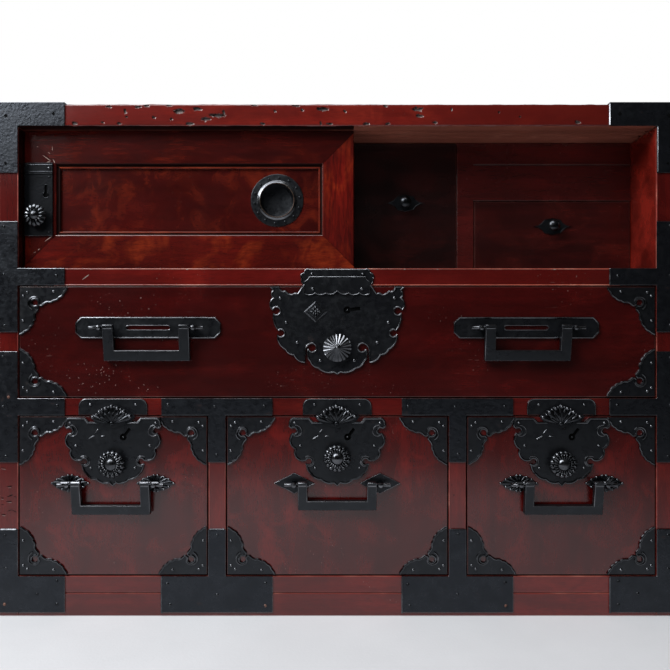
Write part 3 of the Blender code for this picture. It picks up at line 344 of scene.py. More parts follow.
class Grain(Enum):
    """Way that a board's grain runs, as the turn that brings it to X."""

    X = (0.0, 0.0, 0.0)
    Y = (0.0, 0.0, math.pi / 2)
    Z = (0.0, math.pi / 2, 0.0)


def new_material(name: str) -> tuple[bpy.types.Material, Wiring]:
    """Start a material with an empty node tree.

    Args:
        name: Its name.

    Returns:
        The material and its wiring.
    """
    material = bpy.data.materials.new(name)
    material.use_nodes = True
    material.node_tree.nodes.clear()
    return material, Wiring(material.node_tree)


@dataclass(frozen=True)
class Finish:
    """Finish of a surface, which makes one material."""

    name: str

    def paint(self, w: Wiring) -> None:
        """Wire the finish into an empty node tree."""
        raise NotImplementedError

    def material(self) -> bpy.types.Material:
        """Return the material of this finish, built once.

        Returns:
            The material.
        """
        found = bpy.data.materials.get(self.name)
        if found:
            return found
        material, w = new_material(self.name)
        self.paint(w)
        return material


@dataclass(frozen=True)
class Lacquer(Finish):
    """Red lacquer over wood, or bare wood where its colours say so.

    Squeeze shortens the grain and shift moves it along. Its falloff darkens the board towards the right end of
    the chest, painted shade where the light falls off, and bay is the painted tone of a side board inside the
    door bay: painted shade on the left wall, painted light on the right one. A chipped board has attributes
    that say where its hollows are, the painted shadow in the upper part of each and its pale lower lip, partly
    bare wood and partly painted highlight.
    """

    along: Grain
    deep: Colour
    mid: Colour
    light: Colour
    figure: float
    marks: float = 0.5
    roughness: float = 0.17
    ior: float = 1.58
    pale: Colour = (0.24, 0.17, 0.15)
    chipped: bool = False
    relief: float = 0.02 * MM
    ripple: float = 0.25
    squeeze: float = 1.0
    shift: float = 0.0
    falloff_shade: float = 0.0
    bay: Colour | None = None

    def paint_light_and_shade(self, w: Wiring, grain: Any, colour: Any) -> Any:
        """Paint shade that darkens the lacquer towards one end, and paint the board's light and shade inside
        the door bay.

        Args:
            w: Wiring of the material.
            grain: Coordinates along the grain.
            colour: Colour of the lacquer.

        Returns:
            The new colour.
        """
        across = w.parts(w.place())
        # Painted shade: darker towards the right end of the chest, where the light falls off
        if self.falloff_shade:
            colour = w.blend(w.times(w.step(across["X"], *FALLOFF_SHADE_RUN), self.falloff_shade), colour, rgba(self.deep))
        # Painted tone inside the door bay: painted shade on the left wall, painted light on the right one, in
        # streaks
        if self.bay:
            outside = w.step(w.math("ABSOLUTE", across["X"]), *BAY_WALL)
            inside = w.times(w.less(BAY_SHARE, outside), w.step(across["Y"], *BAY_MOUTH))
            streaks = w.step(w.noise(grain, 26.0, 5.0), 0.32, 0.68)
            dull = rgba(tuple(BAY_DULL * share for share in self.bay))
            colour = w.blend(inside, colour, w.blend(streaks, dull, rgba(self.bay)))
        return colour

    def hollows(self, w: Wiring, here: Any, colour: Any, gloss: Any) -> tuple[Any, Any]:
        """Show the bare wood of the chips, with the painted shadow in their upper parts and their pale lips,
        partly bare wood and partly painted highlight.

        Args:
            w: Wiring of the material.
            here: Coordinates of the board.
            colour: Colour of the lacquer.
            gloss: Roughness of the lacquer.

        Returns:
            The new colour and roughness.
        """
        hollow, dark, lip = (
            w.add("Attribute", attribute_name=name).outputs["Fac"] for name in ("hollow", "dark", "pale")
        )
        ragged = w.span(w.noise(here, 420.0, 4.0), 0.5, 1.0)
        colour = w.blend(w.step(hollow, 0.1, 0.5), colour, rgba(HOLLOW_TONE))
        # Pale lip, partly bare wood and partly painted highlight; then painted shadow in the chip's upper part
        colour = w.blend(w.times(lip, ragged), colour, rgba(HOLLOW_LIT_LIP_TONE))
        colour = w.blend(w.times(dark, ragged), colour, rgba(HOLLOW_SHADE_TONE))
        return colour, w.plus(gloss, w.times(hollow, 0.4))

    def paint(self, w: Wiring) -> None:
        """Wire the grain, the marks of use and the chips.

        Args:
            w: Wiring of the material.
        """
        here = w.place(self.along.value)
        run = {"Vector": here, "Scale": (self.squeeze, 1, 1), "Location": (self.shift, 0, 0)}
        grain = w.add("Mapping", run).outputs["Vector"]
        inputs = {"Deep": rgba(self.deep), "Mid": rgba(self.mid), "Light": rgba(self.light)}
        inputs |= {"Vector": grain, "Figure": self.figure, "Ripple": self.ripple}
        wood = Effect.GRAIN.fed(w, inputs)
        colour = self.paint_light_and_shade(w, grain, wood.outputs["Color"])
        mask = Effect.MARKS.fed(w, {"Vector": here, "Amount": self.marks}).outputs["Mask"]
        colour = w.blend(mask, colour, rgba(self.pale))
        uneven = w.span(w.noise(here, 15.0, 4.0), self.roughness - 0.04, self.roughness + 0.08)
        gloss = w.plus(uneven, w.times(mask, 0.3))
        height = w.less(wood.outputs["Height"], w.times(mask, 1.5))
        if self.chipped:
            colour, gloss = self.hollows(w, here, colour, gloss)
        w.shader({"IOR": self.ior}, {"Base Color": colour, "Roughness": gloss}, height, self.relief)


@dataclass(frozen=True)
class Iron(Finish):
    """Black forged iron, or the brighter metal where it is rubbed."""

    dark: Colour
    pale: Colour
    roughness: float
    metallic: float = 0.0
    rust: float = 0.0
    hammer: float = 0.12 * MM
    ior: float = 1.5
    tint: Colour = (0.84, 0.91, 1.0)

    def paint(self, w: Wiring) -> None:
        """Wire the forged skin.

        Args:
            w: Wiring of the material.
        """
        colours = {"Dark": rgba(self.dark), "Pale": rgba(self.pale)}
        skin = Effect.FORGED.fed(w, {"Vector": w.place(), "Rust": self.rust, **colours}).outputs
        links = {"Base Color": skin["Color"], "Roughness": w.plus(skin["Gloss"], self.roughness)}
        constants = {"Metallic": self.metallic, "IOR": self.ior, "Specular Tint": rgba(self.tint)}
        w.shader(constants, links, skin["Height"], self.hammer)


CASE_TONES = ((0.05, 0.003, 0.0024), (0.15, 0.0065, 0.005), (0.2, 0.013, 0.007))
SIDE_TONES = ((0.036, 0.0022, 0.0018), (0.115, 0.0052, 0.004), (0.16, 0.011, 0.006))
SMALL_TONES = ((0.028, 0.0015, 0.0014), (0.082, 0.003, 0.0025), (0.14, 0.0062, 0.004))
CASE_X = Lacquer("case_lacquer", Grain.X, *CASE_TONES, 0.5)
CASE_Z = Lacquer("case_lacquer_upright", Grain.Z, *CASE_TONES, 0.5)
# Falloff: painted shade towards the right end on the sill, the shelf and the chipped top board
CASE_SILL = Lacquer("case_lacquer_sill", Grain.X, *CASE_TONES, 0.6, falloff_shade=0.85)
CASE_SHELF = Lacquer("case_lacquer_shelf", Grain.X, *SIDE_TONES, 0.6, falloff_shade=0.5)
# Bay colours: painted shade on the left wall of the door bay and painted light on its right wall
CASE_LEFT = Lacquer("case_lacquer_left", Grain.Z, *SIDE_TONES, 0.4, bay=(0.005, 0.0012, 0.001))
CASE_RIGHT = Lacquer("case_lacquer_right", Grain.Z, *SIDE_TONES, 0.7, bay=(0.19, 0.0125, 0.007))
CASE_CHIPPED = Lacquer(
    "case_lacquer_chipped", Grain.X, (0.07, 0.005, 0.0035), (0.21, 0.0115, 0.0075), (0.27, 0.022, 0.01), 0.8,
    chipped=True, falloff_shade=0.9,
)
DRAWER_RED = Lacquer(
    "drawer_lacquer", Grain.X, (0.02, 0.0014, 0.0013), (0.055, 0.0026, 0.0024), (0.085, 0.005, 0.0035), 0.5
)
SMALL_RED = Lacquer("small_drawer_lacquer", Grain.Z, *SMALL_TONES, 0.85, ior=1.62, squeeze=1.4, ripple=0.1)
WORN_DRAWER = Lacquer(
    "rubbed_drawer_lacquer", Grain.X, (0.03, 0.006, 0.005), (0.08, 0.012, 0.01), (0.16, 0.045, 0.035),
    0.8, 0.6, 0.3,
)
# Darker copy for the door's top rail and the left stile's arris: painted shade below the top board
DOOR_SHADED_X = Lacquer(
    "door_lacquer", Grain.X, (0.019, 0.0015, 0.0013), (0.07, 0.0042, 0.0028), (0.17, 0.015, 0.0045),
    0.5, 0.1, 0.15, ripple=0.6, shift=0.37,
)
# Lighter copy for the door's low rail: painted light, with its flame figure
DOOR_LIT_LOW = Lacquer(
    "door_lit_low_rail_lacquer", Grain.X, (0.03, 0.0024, 0.0018), (0.12, 0.0066, 0.004), (0.28, 0.034, 0.008),
    0.8, 0.1, 0.15, ripple=0.35, squeeze=1.6,
)
DOOR_PANEL = Lacquer(
    "door_panel_lacquer", Grain.X, (0.02, 0.0015, 0.0013), (0.058, 0.0036, 0.0026), (0.14, 0.014, 0.0046),
    0.9, 0.1, 0.15, ripple=0.12, squeeze=1.8, shift=0.61,
)
DOOR_Z = Lacquer(
    "door_lacquer_upright", Grain.Z, (0.03, 0.0022, 0.0018), (0.19, 0.009, 0.0052), (0.32, 0.036, 0.008),
    0.7, 0.1, 0.15, ripple=0.6,
)
# Darker copy for the left stile, by the lock: painted shade beside the left side board
DOOR_SHADED_STILE = Lacquer(
    "door_shaded_stile_lacquer", Grain.Z, (0.019, 0.0015, 0.0013), (0.085, 0.0048, 0.0032), (0.2, 0.02, 0.005),
    0.4, 0.1, 0.15,
)
DOOR_ARRIS = Lacquer(
    "door_arris_lacquer", Grain.X, (0.05, 0.008, 0.006), (0.11, 0.02, 0.015), (0.2, 0.06, 0.045),
    0.6, 0.3, 0.2, 1.75,
)
DOOR_BEAD = Lacquer(
    "door_bead_lacquer", Grain.X, (0.06, 0.007, 0.004), (0.17, 0.021, 0.009), (0.3, 0.055, 0.02),
    0.8, 0.2, 0.2,
)
# Painted shade: near-black lacquer in the door grooves, on door edges that face away from the light, under the
# top board's front lip and in the post dents
PAINTED_SHADE = Lacquer(
    "door_groove_shade", Grain.X, (0.006, 0.001, 0.001), (0.012, 0.002, 0.0015), (0.02, 0.003, 0.002),
    0.3, 0.0, 0.5, 1.2,
)
CARCASS_RED = Lacquer(
    "inner_carcass_lacquer", Grain.X, (0.03, 0.0028, 0.0024), (0.1, 0.006, 0.005), (0.13, 0.01, 0.0065),
    0.4, 0.1, 0.24,
)
INNER_RED = Lacquer(
    "inner_lacquer", Grain.X, (0.014, 0.0018, 0.0016), (0.055, 0.0038, 0.0032), (0.09, 0.008, 0.005),
    0.6, 0.1, 0.24,
)
TALL_RED = Lacquer(
    "inner_tall_drawer_lacquer", Grain.X, (0.006, 0.0012, 0.0012), (0.024, 0.0022, 0.002),
    (0.05, 0.005, 0.0036), 0.6, 0.1, 0.24,
)
HEAD_WOOD = Lacquer(
    "head_wood", Grain.X, (0.15, 0.042, 0.026), (0.34, 0.098, 0.06), (0.44, 0.16, 0.11), 0.5, 0.2, 0.5, 1.45
)
BARE_X = Lacquer(
    "bare_wood", Grain.X, (0.11, 0.045, 0.024), (0.27, 0.135, 0.075), (0.36, 0.21, 0.125),
    0.5, 0.3, 0.7, 1.45, relief=0.2 * MM,
)
BARE_Y = Lacquer(
    "bare_wood_lengthwise", Grain.Y, (0.12, 0.06, 0.03), (0.3, 0.17, 0.095), (0.4, 0.25, 0.15),
    0.5, 0.3, 0.7, 1.45, relief=0.2 * MM,
)
WORN_RED = Lacquer(
    "rubbed_lacquer", Grain.X, (0.1, 0.012, 0.009), (0.26, 0.045, 0.034), (0.4, 0.15, 0.11), 0.9, 0.6, 0.3
)
# Sill edges: partly rubbed lacquer and partly painted highlight
BRIGHT_EDGE = Lacquer(
    "bright_edge_lacquer", Grain.X, (0.14, 0.022, 0.014), (0.4, 0.085, 0.05), (0.55, 0.26, 0.19),
    0.9, 0.6, 0.25, 1.65,
)
SCRATCHED = Lacquer(
    "scratched_lacquer", Grain.X, (0.18, 0.13, 0.11), (0.3, 0.24, 0.21), (0.42, 0.36, 0.32),
    0.5, 0.0, 0.5, 1.45,
)
SPECKLED = Lacquer(
    "speckled_lacquer", Grain.X, (0.1, 0.07, 0.064), (0.2, 0.15, 0.14), (0.32, 0.26, 0.24),
    0.5, 0.0, 0.5, 1.45,
)
SKIN_TONES = ((0.002, 0.0021, 0.0026), (0.0048, 0.0051, 0.0063))
BLACK = Iron("black_iron_skin", *SKIN_TONES, 0.36, rust=0.15, ior=1.46)
STRAP = Iron(
    "strap_iron_skin", *SKIN_TONES, 0.34, rust=0.15, hammer=0.28 * MM, ior=1.48, tint=(0.77, 0.86, 1.0)
)
# Door lock plate: rusty, with low reflectance that stands in for the shade it lies in beside the left side
# board
OLD_SHADED_PLATE = Iron("door_plate_shaded_skin", *SKIN_TONES, 0.46, rust=0.3, hammer=0.3 * MM, ior=1.2)
RUBBED = Iron("rubbed_iron", (0.085, 0.088, 0.096), (0.17, 0.175, 0.188), 0.25, 1.0, 0.1, 0.03 * MM)
CARVED = Iron("carved_iron", (0.05, 0.053, 0.058), (0.11, 0.114, 0.124), 0.25, 1.0, 0.05, 0.03 * MM)
RELIEF = Iron("embossed_iron", (0.022, 0.0235, 0.026), (0.054, 0.057, 0.063), 0.28, 1.0, 0.05, 0.03 * MM)
RUSTY = Iron("rusty_nail", (0.1, 0.04, 0.024), (0.2, 0.1, 0.07), 0.55, 0.2, 0.8, 0.1 * MM)
COPPERY = Iron("worn_cup_edge", (0.16, 0.075, 0.045), (0.42, 0.3, 0.22), 0.32, 0.75, 0.2, 0.05 * MM)
BOLT = Iron("bright_bolt", (0.09, 0.085, 0.08), (0.16, 0.15, 0.14), 0.4, 0.85, 0.3, 0.1 * MM)
# Near-black: discs of painted shade behind the keyholes, and the square nail heads
PIT = Iron("keyhole_dark", (0.001, 0.001, 0.001), (0.002, 0.002, 0.002), 0.9, 0.0, 0.0, 0.05 * MM, 1.15)


# Stage


@dataclass
class Stage:
    """Camera, light, world and floor."""

    eye: tuple = (-0.0029, -1.1068, 0.3653)
    lens: float = 37.18
    floor_reach: float = 9.0
    floor_tone: Colour = (0.66, 0.665, 0.685)
    key_place: tuple = (-1.35, -1.2, 1.6)
    key_size: float = 0.9
    key_power: float = 38.0
    head_place: tuple = (-0.6, -0.95, 1.9)
    head_size: Span = (1.6, 0.6)
    head_power: float = 24.0
    fill_strength: float = 0.18
    light_tone: Colour = (0.97, 0.985, 1.0)
    aim: tuple = (0, 0, 0.33)
    room_levels: Span = (0.012, 1.0)
    ceiling_share: float = 0.12
    floor_shades: Span = (0.93, 1.1)
    floor_fade: Span = (-1.38, -0.88)
    floor_aside: Span = (0.45, 0.75)
    unlit_tone: Colour = (0.03, 0.03, 0.03)

    def camera(self) -> None:
        """Stand the camera straight in front of the chest."""
        data = bpy.data.cameras.new("camera")
        data.lens = self.lens
        item = linked("camera", data)
        item.location = self.eye
        item.rotation_euler = (math.pi / 2, 0, 0)
        bpy.context.scene.camera = item
        bpy.context.scene.view_settings.view_transform = "Standard"

    def lamp(self, name: str, place: tuple, size: Span, power: float) -> None:
        """Hang one soft light that looks at the chest.

        Args:
            name: Its name.
            place: Where it hangs.
            size: Its width and depth.
            power: Its power in watts.
        """
        data = bpy.data.lights.new(name, "AREA")
        data.shape = "RECTANGLE"
        data.size, data.size_y = size
        data.energy = power
        data.color = self.light_tone
        item = linked(name, data)
        item.location = place
        way = Vector(self.aim) - item.location
        item.rotation_euler = way.to_track_quat("-Z", "Y").to_euler()

    def world(self) -> None:
        """Soft light from all round, white where it is seen, and a dim room in front for reflections."""
        world = bpy.data.worlds.new("studio")
        bpy.context.scene.world = world
        world.use_nodes = True
        world.node_tree.nodes.clear()
        w = Wiring(world.node_tree)
        way = w.parts(w.add("TexCoord").outputs["Generated"])
        behind = w.step(way["Y"], -0.15, 0.35)
        above = w.step(way["Z"], 0.2, 0.95)
        path = w.add("LightPath").outputs
        mirrored = w.most(path["Is Glossy Ray"], path["Is Transmission Ray"])
        room = w.span(w.most(behind, w.times(above, self.ceiling_share)), *self.room_levels)
        level = w.plus(self.fill_strength, w.times(mirrored, w.less(room, self.fill_strength)))
        level = w.most(level, path["Is Camera Ray"])
        light = w.add("Background", {"Color": rgba((1.0, 1.0, 1.0)), "Strength": level})
        w.add("OutputWorld", {"Surface": light.outputs[0]})

    def floor(self) -> None:
        """Lay a pale matt floor, painted lighter towards the right to even out the lamps' falloff, which fades
        out in reflections towards the camera and to the sides.
        """
        part = bmesh.new()
        bmesh.ops.create_grid(part, x_segments=1, y_segments=1, size=self.floor_reach)
        mesh = meshed(part, "floor")
        material, w = new_material("pale_floor")
        here = w.place()
        cloud = w.noise(here, 4.0, 6.0, 0.6)
        way = w.parts(here)
        low, high = (rgba(tuple(share * c for c in self.floor_tone)) for share in self.floor_shades)
        # Painted light: lighter towards the right, against the lamps' falloff, with a cloudy mottle
        across = w.span(w.step(way["X"], -0.6, 0.6), 0.0, 0.6)
        colour = w.blend(w.plus(across, w.span(w.step(cloud, 0.3, 0.7), 0.0, 0.4)), low, high)
        aside = w.step(w.math("ABSOLUTE", way["X"]), *self.floor_aside)
        near = w.times(w.step(way["Y"], *self.floor_fade), w.span(aside, 1.0, 0.5))
        mirrored = w.add("LightPath").outputs["Is Glossy Ray"]
        colour = w.blend(w.most(near, w.less(1.0, mirrored)), rgba(self.unlit_tone), colour)
        w.shader({"Roughness": 0.8}, {"Base Color": colour}, w.noise(here, 260.0, 3.0), 0.2 * MM)
        mesh.materials.append(material)
        item = linked("floor", mesh)

    def build(self) -> None:
        """Set up everything that isn't the chest."""
        self.camera()
        self.lamp("key", self.key_place, (self.key_size, self.key_size), self.key_power)
        self.lamp("head", self.head_place, self.head_size, self.head_power)
        self.world()
        self.floor()


# Mesh tools, all in millimetres


ARC_STEP = math.radians(12)
EYE_STEPS = 18
MERGE = 0.001
KINDS = 3


class Facing(Enum):
    """Side of the chest that a head looks to, as its turn from the front."""

    FRONT = 0.0
    RIGHT = math.pi / 2
    LEFT = -math.pi / 2


def heading(turn: float) -> Vector:
    """Way of a turn in radians, counted from the right."""
    return Vector((math.cos(turn), math.sin(turn)))


def arc_points(start: Vector, end: Vector, swell: float) -> list[Vector]:
    """Points between the ends of an arc.

    Args:
        start: First end of the arc.
        end: Last end of the arc.
        swell: Rise over half the chord, to the left of the arc's way.

    Returns:
        The points without both ends.
    """
    chord = end - start
    half = chord.length / 2
    left = Vector((-chord.y, chord.x)).normalized()
    radius = half * (1 + swell * swell) / (2 * abs(swell))
    centre = (start + end) / 2 - left * math.copysign(1, swell) * (radius - abs(swell) * half)
    sweep = -4 * math.atan(swell)
    count = max(2, math.ceil(abs(sweep) / ARC_STEP))
    return [centre + Matrix.Rotation(sweep * k / count, 2) @ (start - centre) for k in range(1, count)]


def curve(points: Sequence[tuple]) -> Outline:
    """Expand corner points, with the swell of the arc that follows some of them, into an open run.

    Args:
        points: The corner points.

    Returns:
        The points of the run.
    """
    run = []
    for here, there in zip(points, points[1:]):
        start, end = Vector(here[:2]), Vector(there[:2])
        run.append(start)
        if len(here) > 2:
            run.extend(arc_points(start, end, here[2]))
    run.append(Vector(points[-1][:2]))
    return [(point.x, point.y) for point in run]


def both_sides(half: Sequence[tuple]) -> Outline:
    """Complete an outline from its right half, which starts and ends on the middle line."""
    right = curve(half)
    return right + [(-u, v) for u, v in reversed(right[1:-1])]


def placed(outline: Outline, x: float, z: float, scale: float = 1.0, flip: Span = (1.0, 1.0)) -> Outline:
    """Scale an outline, flip it if asked, and set its origin at x, z."""
    return [(x + scale * flip[0] * u, z + scale * flip[1] * v) for u, v in outline]


def mirrored(points: Sequence[Span], x: float, z: float) -> Outline:
    """Set points on both sides of an upright middle line at x, with z as their zero height."""
    return [(x + side * u, z + v) for side in SIDES for u, v in points]


def ring(x: float, z: float, radius: float, sides: int = 24) -> Outline:
    """Round outline about a point."""
    turns = (math.tau * k / sides for k in range(sides))
    return [(x + radius * math.cos(turn), z + radius * math.sin(turn)) for turn in turns]


def curl(middle: Span, radius: float, turns: Span, steps: int = 14) -> Outline:
    """Path of a scroll that winds in about a point, from one turn in degrees to another.

    Args:
        middle: Point that it winds about.
        radius: Radius at its start.
        turns: Turns of its start and its end.
        steps: Number of straight steps.

    Returns:
        The path.
    """
    path = []
    for k in range(steps + 1):
        turn = math.radians(turns[0] + (turns[1] - turns[0]) * k / steps)
        reach = radius * (1 - 0.4 * k / steps)
        path.append((middle[0] + reach * math.cos(turn), middle[1] + reach * math.sin(turn)))
    return path


def keyhole(start: Span, end: Span, radius: float, slot: float) -> Outline:
    """Outline of a keyhole: a round eye at its start and a slot to its end.

    Args:
        start: Middle of the eye.
        end: Far end of the slot.
        radius: Radius of the eye.
        slot: Width of the slot.

    Returns:
        The outline.
    """
    way = Vector(end) - Vector(start)
    length, angle = way.length, math.atan2(way.y, way.x)
    opening = math.asin(slot / 2 / radius)
    turns = (opening + (math.tau - 2 * opening) * k / EYE_STEPS for k in range(EYE_STEPS + 1))
    outline = [radius * heading(turn) for turn in turns]
    outline += [Vector((length, -slot / 2)), Vector((length, slot / 2))]
    spun = [Vector(start) + Matrix.Rotation(angle, 2) @ point for point in outline]
    return [(point.x, point.y) for point in spun]


def settle(part: Part) -> Part:
    """Merge a part's doubles and turn its faces outwards.

    Args:
        part: The part.

    Returns:
        The same part.
    """
    bmesh.ops.remove_doubles(part, verts=part.verts[:], dist=MERGE)
    bmesh.ops.recalc_face_normals(part, faces=part.faces[:])
    return part


def moved(found: dict) -> list:
    """Pick the new points from an extrusion's result."""
    return [item for item in found["geom"] if isinstance(item, bmesh.types.BMVert)]


def wire(path: Outline, front: float, radius: float, closed: bool = True) -> Part:
    """Lay a round wire along a path on a face that looks forward.

    Args:
        path: Middle of the wire.
        front: Depth of the face.
        radius: Radius of the wire.
        closed: Whether the last point joins the first.

    Returns:
        The wire, half of it let into the face.
    """
    data = bpy.data.curves.new("wire", "CURVE")
    data.dimensions = "3D"
    data.bevel_depth = radius
    data.bevel_resolution = 2
    data.use_fill_caps = True
    run = data.splines.new("POLY")
    run.points.add(len(path) - 1)
    for point, (x, z) in zip(run.points, path):
        point.co = (x, front, z, 1.0)
    run.use_cyclic_u = closed
    item = bpy.data.objects.new("wire", data)
    part = bmesh.new()
    part.from_mesh(item.to_mesh())
    item.to_mesh_clear()
    bpy.data.objects.remove(item)
    bpy.data.curves.remove(data)
    return settle(part)


def absorb(part: Part, other: Part) -> None:
    """Take another part's faces into a part, and use it up.

    Args:
        part: The part that grows.
        other: The part that is used up.
    """
    mesh = meshed(other, "part")
    part.from_mesh(mesh)
    bpy.data.meshes.remove(mesh)


def plate(
    outline: Outline, front: float, thick: float, rim: float = 0.0, holes: Sequence[Outline] = (),
    hole_rim: float = 0.5,
) -> Part:
    """Cut a plate that faces forward, with a round rim along its edge and its piercings.

    Args:
        outline: Outer edge.
        front: Depth of the front face.
        thick: Thickness.
        rim: Radius of the rim.
        holes: Edges of the piercings.
        hole_rim: Size of the rims round the piercings, as a share of the outer one.

    Returns:
        The plate, with its rims as kind 1.
    """
    part = bmesh.new()
    edges = []
    for loop in (outline, *holes):
        verts = [part.verts.new((x, front + thick, z)) for x, z in loop]
        edges += [part.edges.new(pair) for pair in zip(verts, verts[1:] + verts[:1])]
    bmesh.ops.triangle_fill(part, edges=edges, use_beauty=True, use_dissolve=False, normal=(0, -1, 0))
    grown = bmesh.ops.extrude_face_region(part, geom=part.faces[:])
    bmesh.ops.translate(part, vec=(0, -thick, 0), verts=moved(grown))
    bmesh.ops.recalc_face_normals(part, faces=part.faces[:])
    for loop, radius in ((outline, rim), *((hole, rim * hole_rim) for hole in holes)):
        if radius:
            edge = wire(loop, front, radius)
            for face in edge.faces:
                face.material_index = 1
            absorb(part, edge)
    return part


def eased(part: Part, edges: list, width: float, segments: int) -> None:
    """Bevel some edges of a part, as kind 1."""
    cut = bmesh.ops.bevel(
        part, geom=edges, offset=width, offset_type="OFFSET", segments=segments, profile=0.5, affect="EDGES",
        clamp_overlap=True, material=-1,
    )
    for face in cut["faces"]:
        face.material_index = 1


def board(x: Span, y: Span, z: Span, ease: float = 0.0) -> Part:
    """Plane a board, with its edges eased as kind 1 if asked.

    Args:
        x: Span across.
        y: Span in depth.
        z: Span in height.
        ease: Width of the easing.

    Returns:
        The board.
    """
    part = bmesh.new()
    bmesh.ops.create_cube(part, size=1.0)
    spans = (x, y, z)
    bmesh.ops.scale(part, vec=[high - low for low, high in spans], verts=part.verts[:])
    bmesh.ops.translate(part, vec=[(low + high) / 2 for low, high in spans], verts=part.verts[:])
    if ease:
        eased(part, part.edges[:], ease, 2)
    return part


def bevelled(part: Part, front: float, ease: float) -> Part:
    """Chamfer the outer edge of a plate's front face, as kind 1.

    Args:
        part: The plate.
        front: Depth of its front face.
        ease: Width of the chamfer.

    Returns:
        The same plate.
    """
    edges = [
        edge for edge in part.edges
        if all(abs(vert.co.y - front) < 0.01 for vert in edge.verts) and edge.calc_face_angle() > 0.5
    ]
    eased(part, edges, ease, 1)
    return part


def dome(
    place: Sequence[float], radius: float, rise: float, facing: Facing = Facing.FRONT, sides: int = 12
) -> Part:
    """Round head on a face, with its lower half let into it.

    Args:
        place: Point on the face.
        radius: Radius of the head.
        rise: Height of the head.
        facing: Side of the chest that the head looks to.
        sides: Faces round it.

    Returns:
        The head.
    """
    part = bmesh.new()
    bmesh.ops.create_uvsphere(part, u_segments=sides, v_segments=6, radius=1.0)
    shape = Matrix.Diagonal((radius, rise, radius, 1.0)) @ Matrix.Rotation(math.pi / 2, 4, "X")
    part.transform(Matrix.Translation(place) @ Matrix.Rotation(facing.value, 4, "Z") @ shape)
    return part


def lobe(
    start: Sequence[float], end: Sequence[float], fronts: Span, widths: Span, rise: float, sides: int = 10
) -> Part:
    """Raised leaf or petal on a face that looks forward.

    Args:
        start: One tip.
        end: The other tip.
        fronts: Depth of the face at the start and at the end.
        widths: Width near the start and near the end.
        rise: Height in the middle.
        sides: Faces round it.

    Returns:
        The petal, with its lower half let into the face.
    """
    part = bmesh.new()
    bmesh.ops.create_uvsphere(part, u_segments=sides, v_segments=8, radius=1.0)
    part.transform(Matrix.Rotation(math.pi / 2, 4, "Y"))
    way = Vector(end) - Vector(start)
    for vert in part.verts:
        share = (vert.co.x + 1) / 2
        width, depth = (pair[0] * (1 - share) + pair[1] * share for pair in (widths, fronts))
        vert.co = (vert.co.x * way.length / 2, vert.co.y * rise + depth, vert.co.z * width / 2)
    middle = (Vector(start) + Vector(end)) / 2
    turn = Matrix.Rotation(-math.atan2(way.y, way.x), 4, "Y")
    part.transform(Matrix.Translation((middle.x, 0, middle.y)) @ turn)
    return part


def turned(x: float, z: float, profile: Sequence[tuple], steps: int = 48) -> Part:
    """Turn a closed shape about a line that runs to the front.

    Args:
        x: Place of the line.
        z: Height of the line.
        profile: Radius and depth of each point, with the kind of the faces after it if it isn't 0.
        steps: Faces round it.

    Returns:
        The turned shape.
    """
    part = bmesh.new()
    verts = [part.verts.new((point[0], point[1], 0)) for point in profile]
    edges = [part.edges.new(pair) for pair in zip(verts, verts[1:])]
    bmesh.ops.spin(
        part, geom=verts + edges, cent=(0, 0, 0), axis=(0, 1, 0), angle=math.tau, steps=steps, use_merge=True
    )
    settle(part)
    for face in part.faces:
        middle = face.calc_center_median()
        reach = Vector((math.hypot(middle.x, middle.z), middle.y))
        near = [((Vector(a[:2]) + Vector(b[:2])) / 2 - reach).length for a, b in zip(profile, profile[1:])]
        point = profile[near.index(min(near))]
        face.material_index = point[2] if len(point) > 2 else 0
    part.transform(Matrix.Translation((x, 0, z)))
    return part


def stick(start: Sequence[float], end: Sequence[float], radius: float, sides: int = 12) -> Part:
    """Round bar between two points, with rounded ends.

    Args:
        start: One end.
        end: The other end.
        radius: Radius of the bar.
        sides: Faces round it.

    Returns:
        The bar.
    """
    way = Vector(end) - Vector(start)
    part = bmesh.new()
    bmesh.ops.create_cone(
        part, cap_ends=True, segments=sides, radius1=radius, radius2=radius, depth=way.length
    )
    rims = [edge for edge in part.edges if abs(edge.verts[0].co.z - edge.verts[1].co.z) < MERGE]
    eased(part, rims, radius * 0.4, 2)
    turn = way.to_track_quat("Z", "Y").to_matrix().to_4x4()
    part.transform(Matrix.Translation((Vector(start) + Vector(end)) / 2) @ turn)
    return part


def carved(part: Part, *cutters: Part) -> Part:
    """Cut shapes out of a part.

    Args:
        part: The part, which is used up.
        cutters: The shapes, which are used up too.

    Returns:
        What is left.
    """
    items = [linked("cut", meshed(source, "cut")) for source in (part, *cutters)]
    for _ in range(KINDS):
        items[0].data.materials.append(None)
    for cutter in items[1:]:
        tool = items[0].modifiers.new("cut", "BOOLEAN")
        tool.operation, tool.solver, tool.object = "DIFFERENCE", "EXACT", cutter
    shape = items[0].evaluated_get(bpy.context.evaluated_depsgraph_get())
    result = bmesh.new()
    result.from_mesh(shape.to_mesh())
    shape.to_mesh_clear()
    for item in items:
        mesh = item.data
        bpy.data.objects.remove(item)
        bpy.data.meshes.remove(mesh)
    return result


def box_of(node: str) -> tuple[Vector, Vector]:
    """A solid's lowest and highest corners in millimetres."""
    low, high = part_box(node)
    return low / MM, high / MM


def middle_of(node: str) -> Vector:
    """A solid's middle in millimetres."""
    low, high = box_of(node)
    return (low + high) / 2


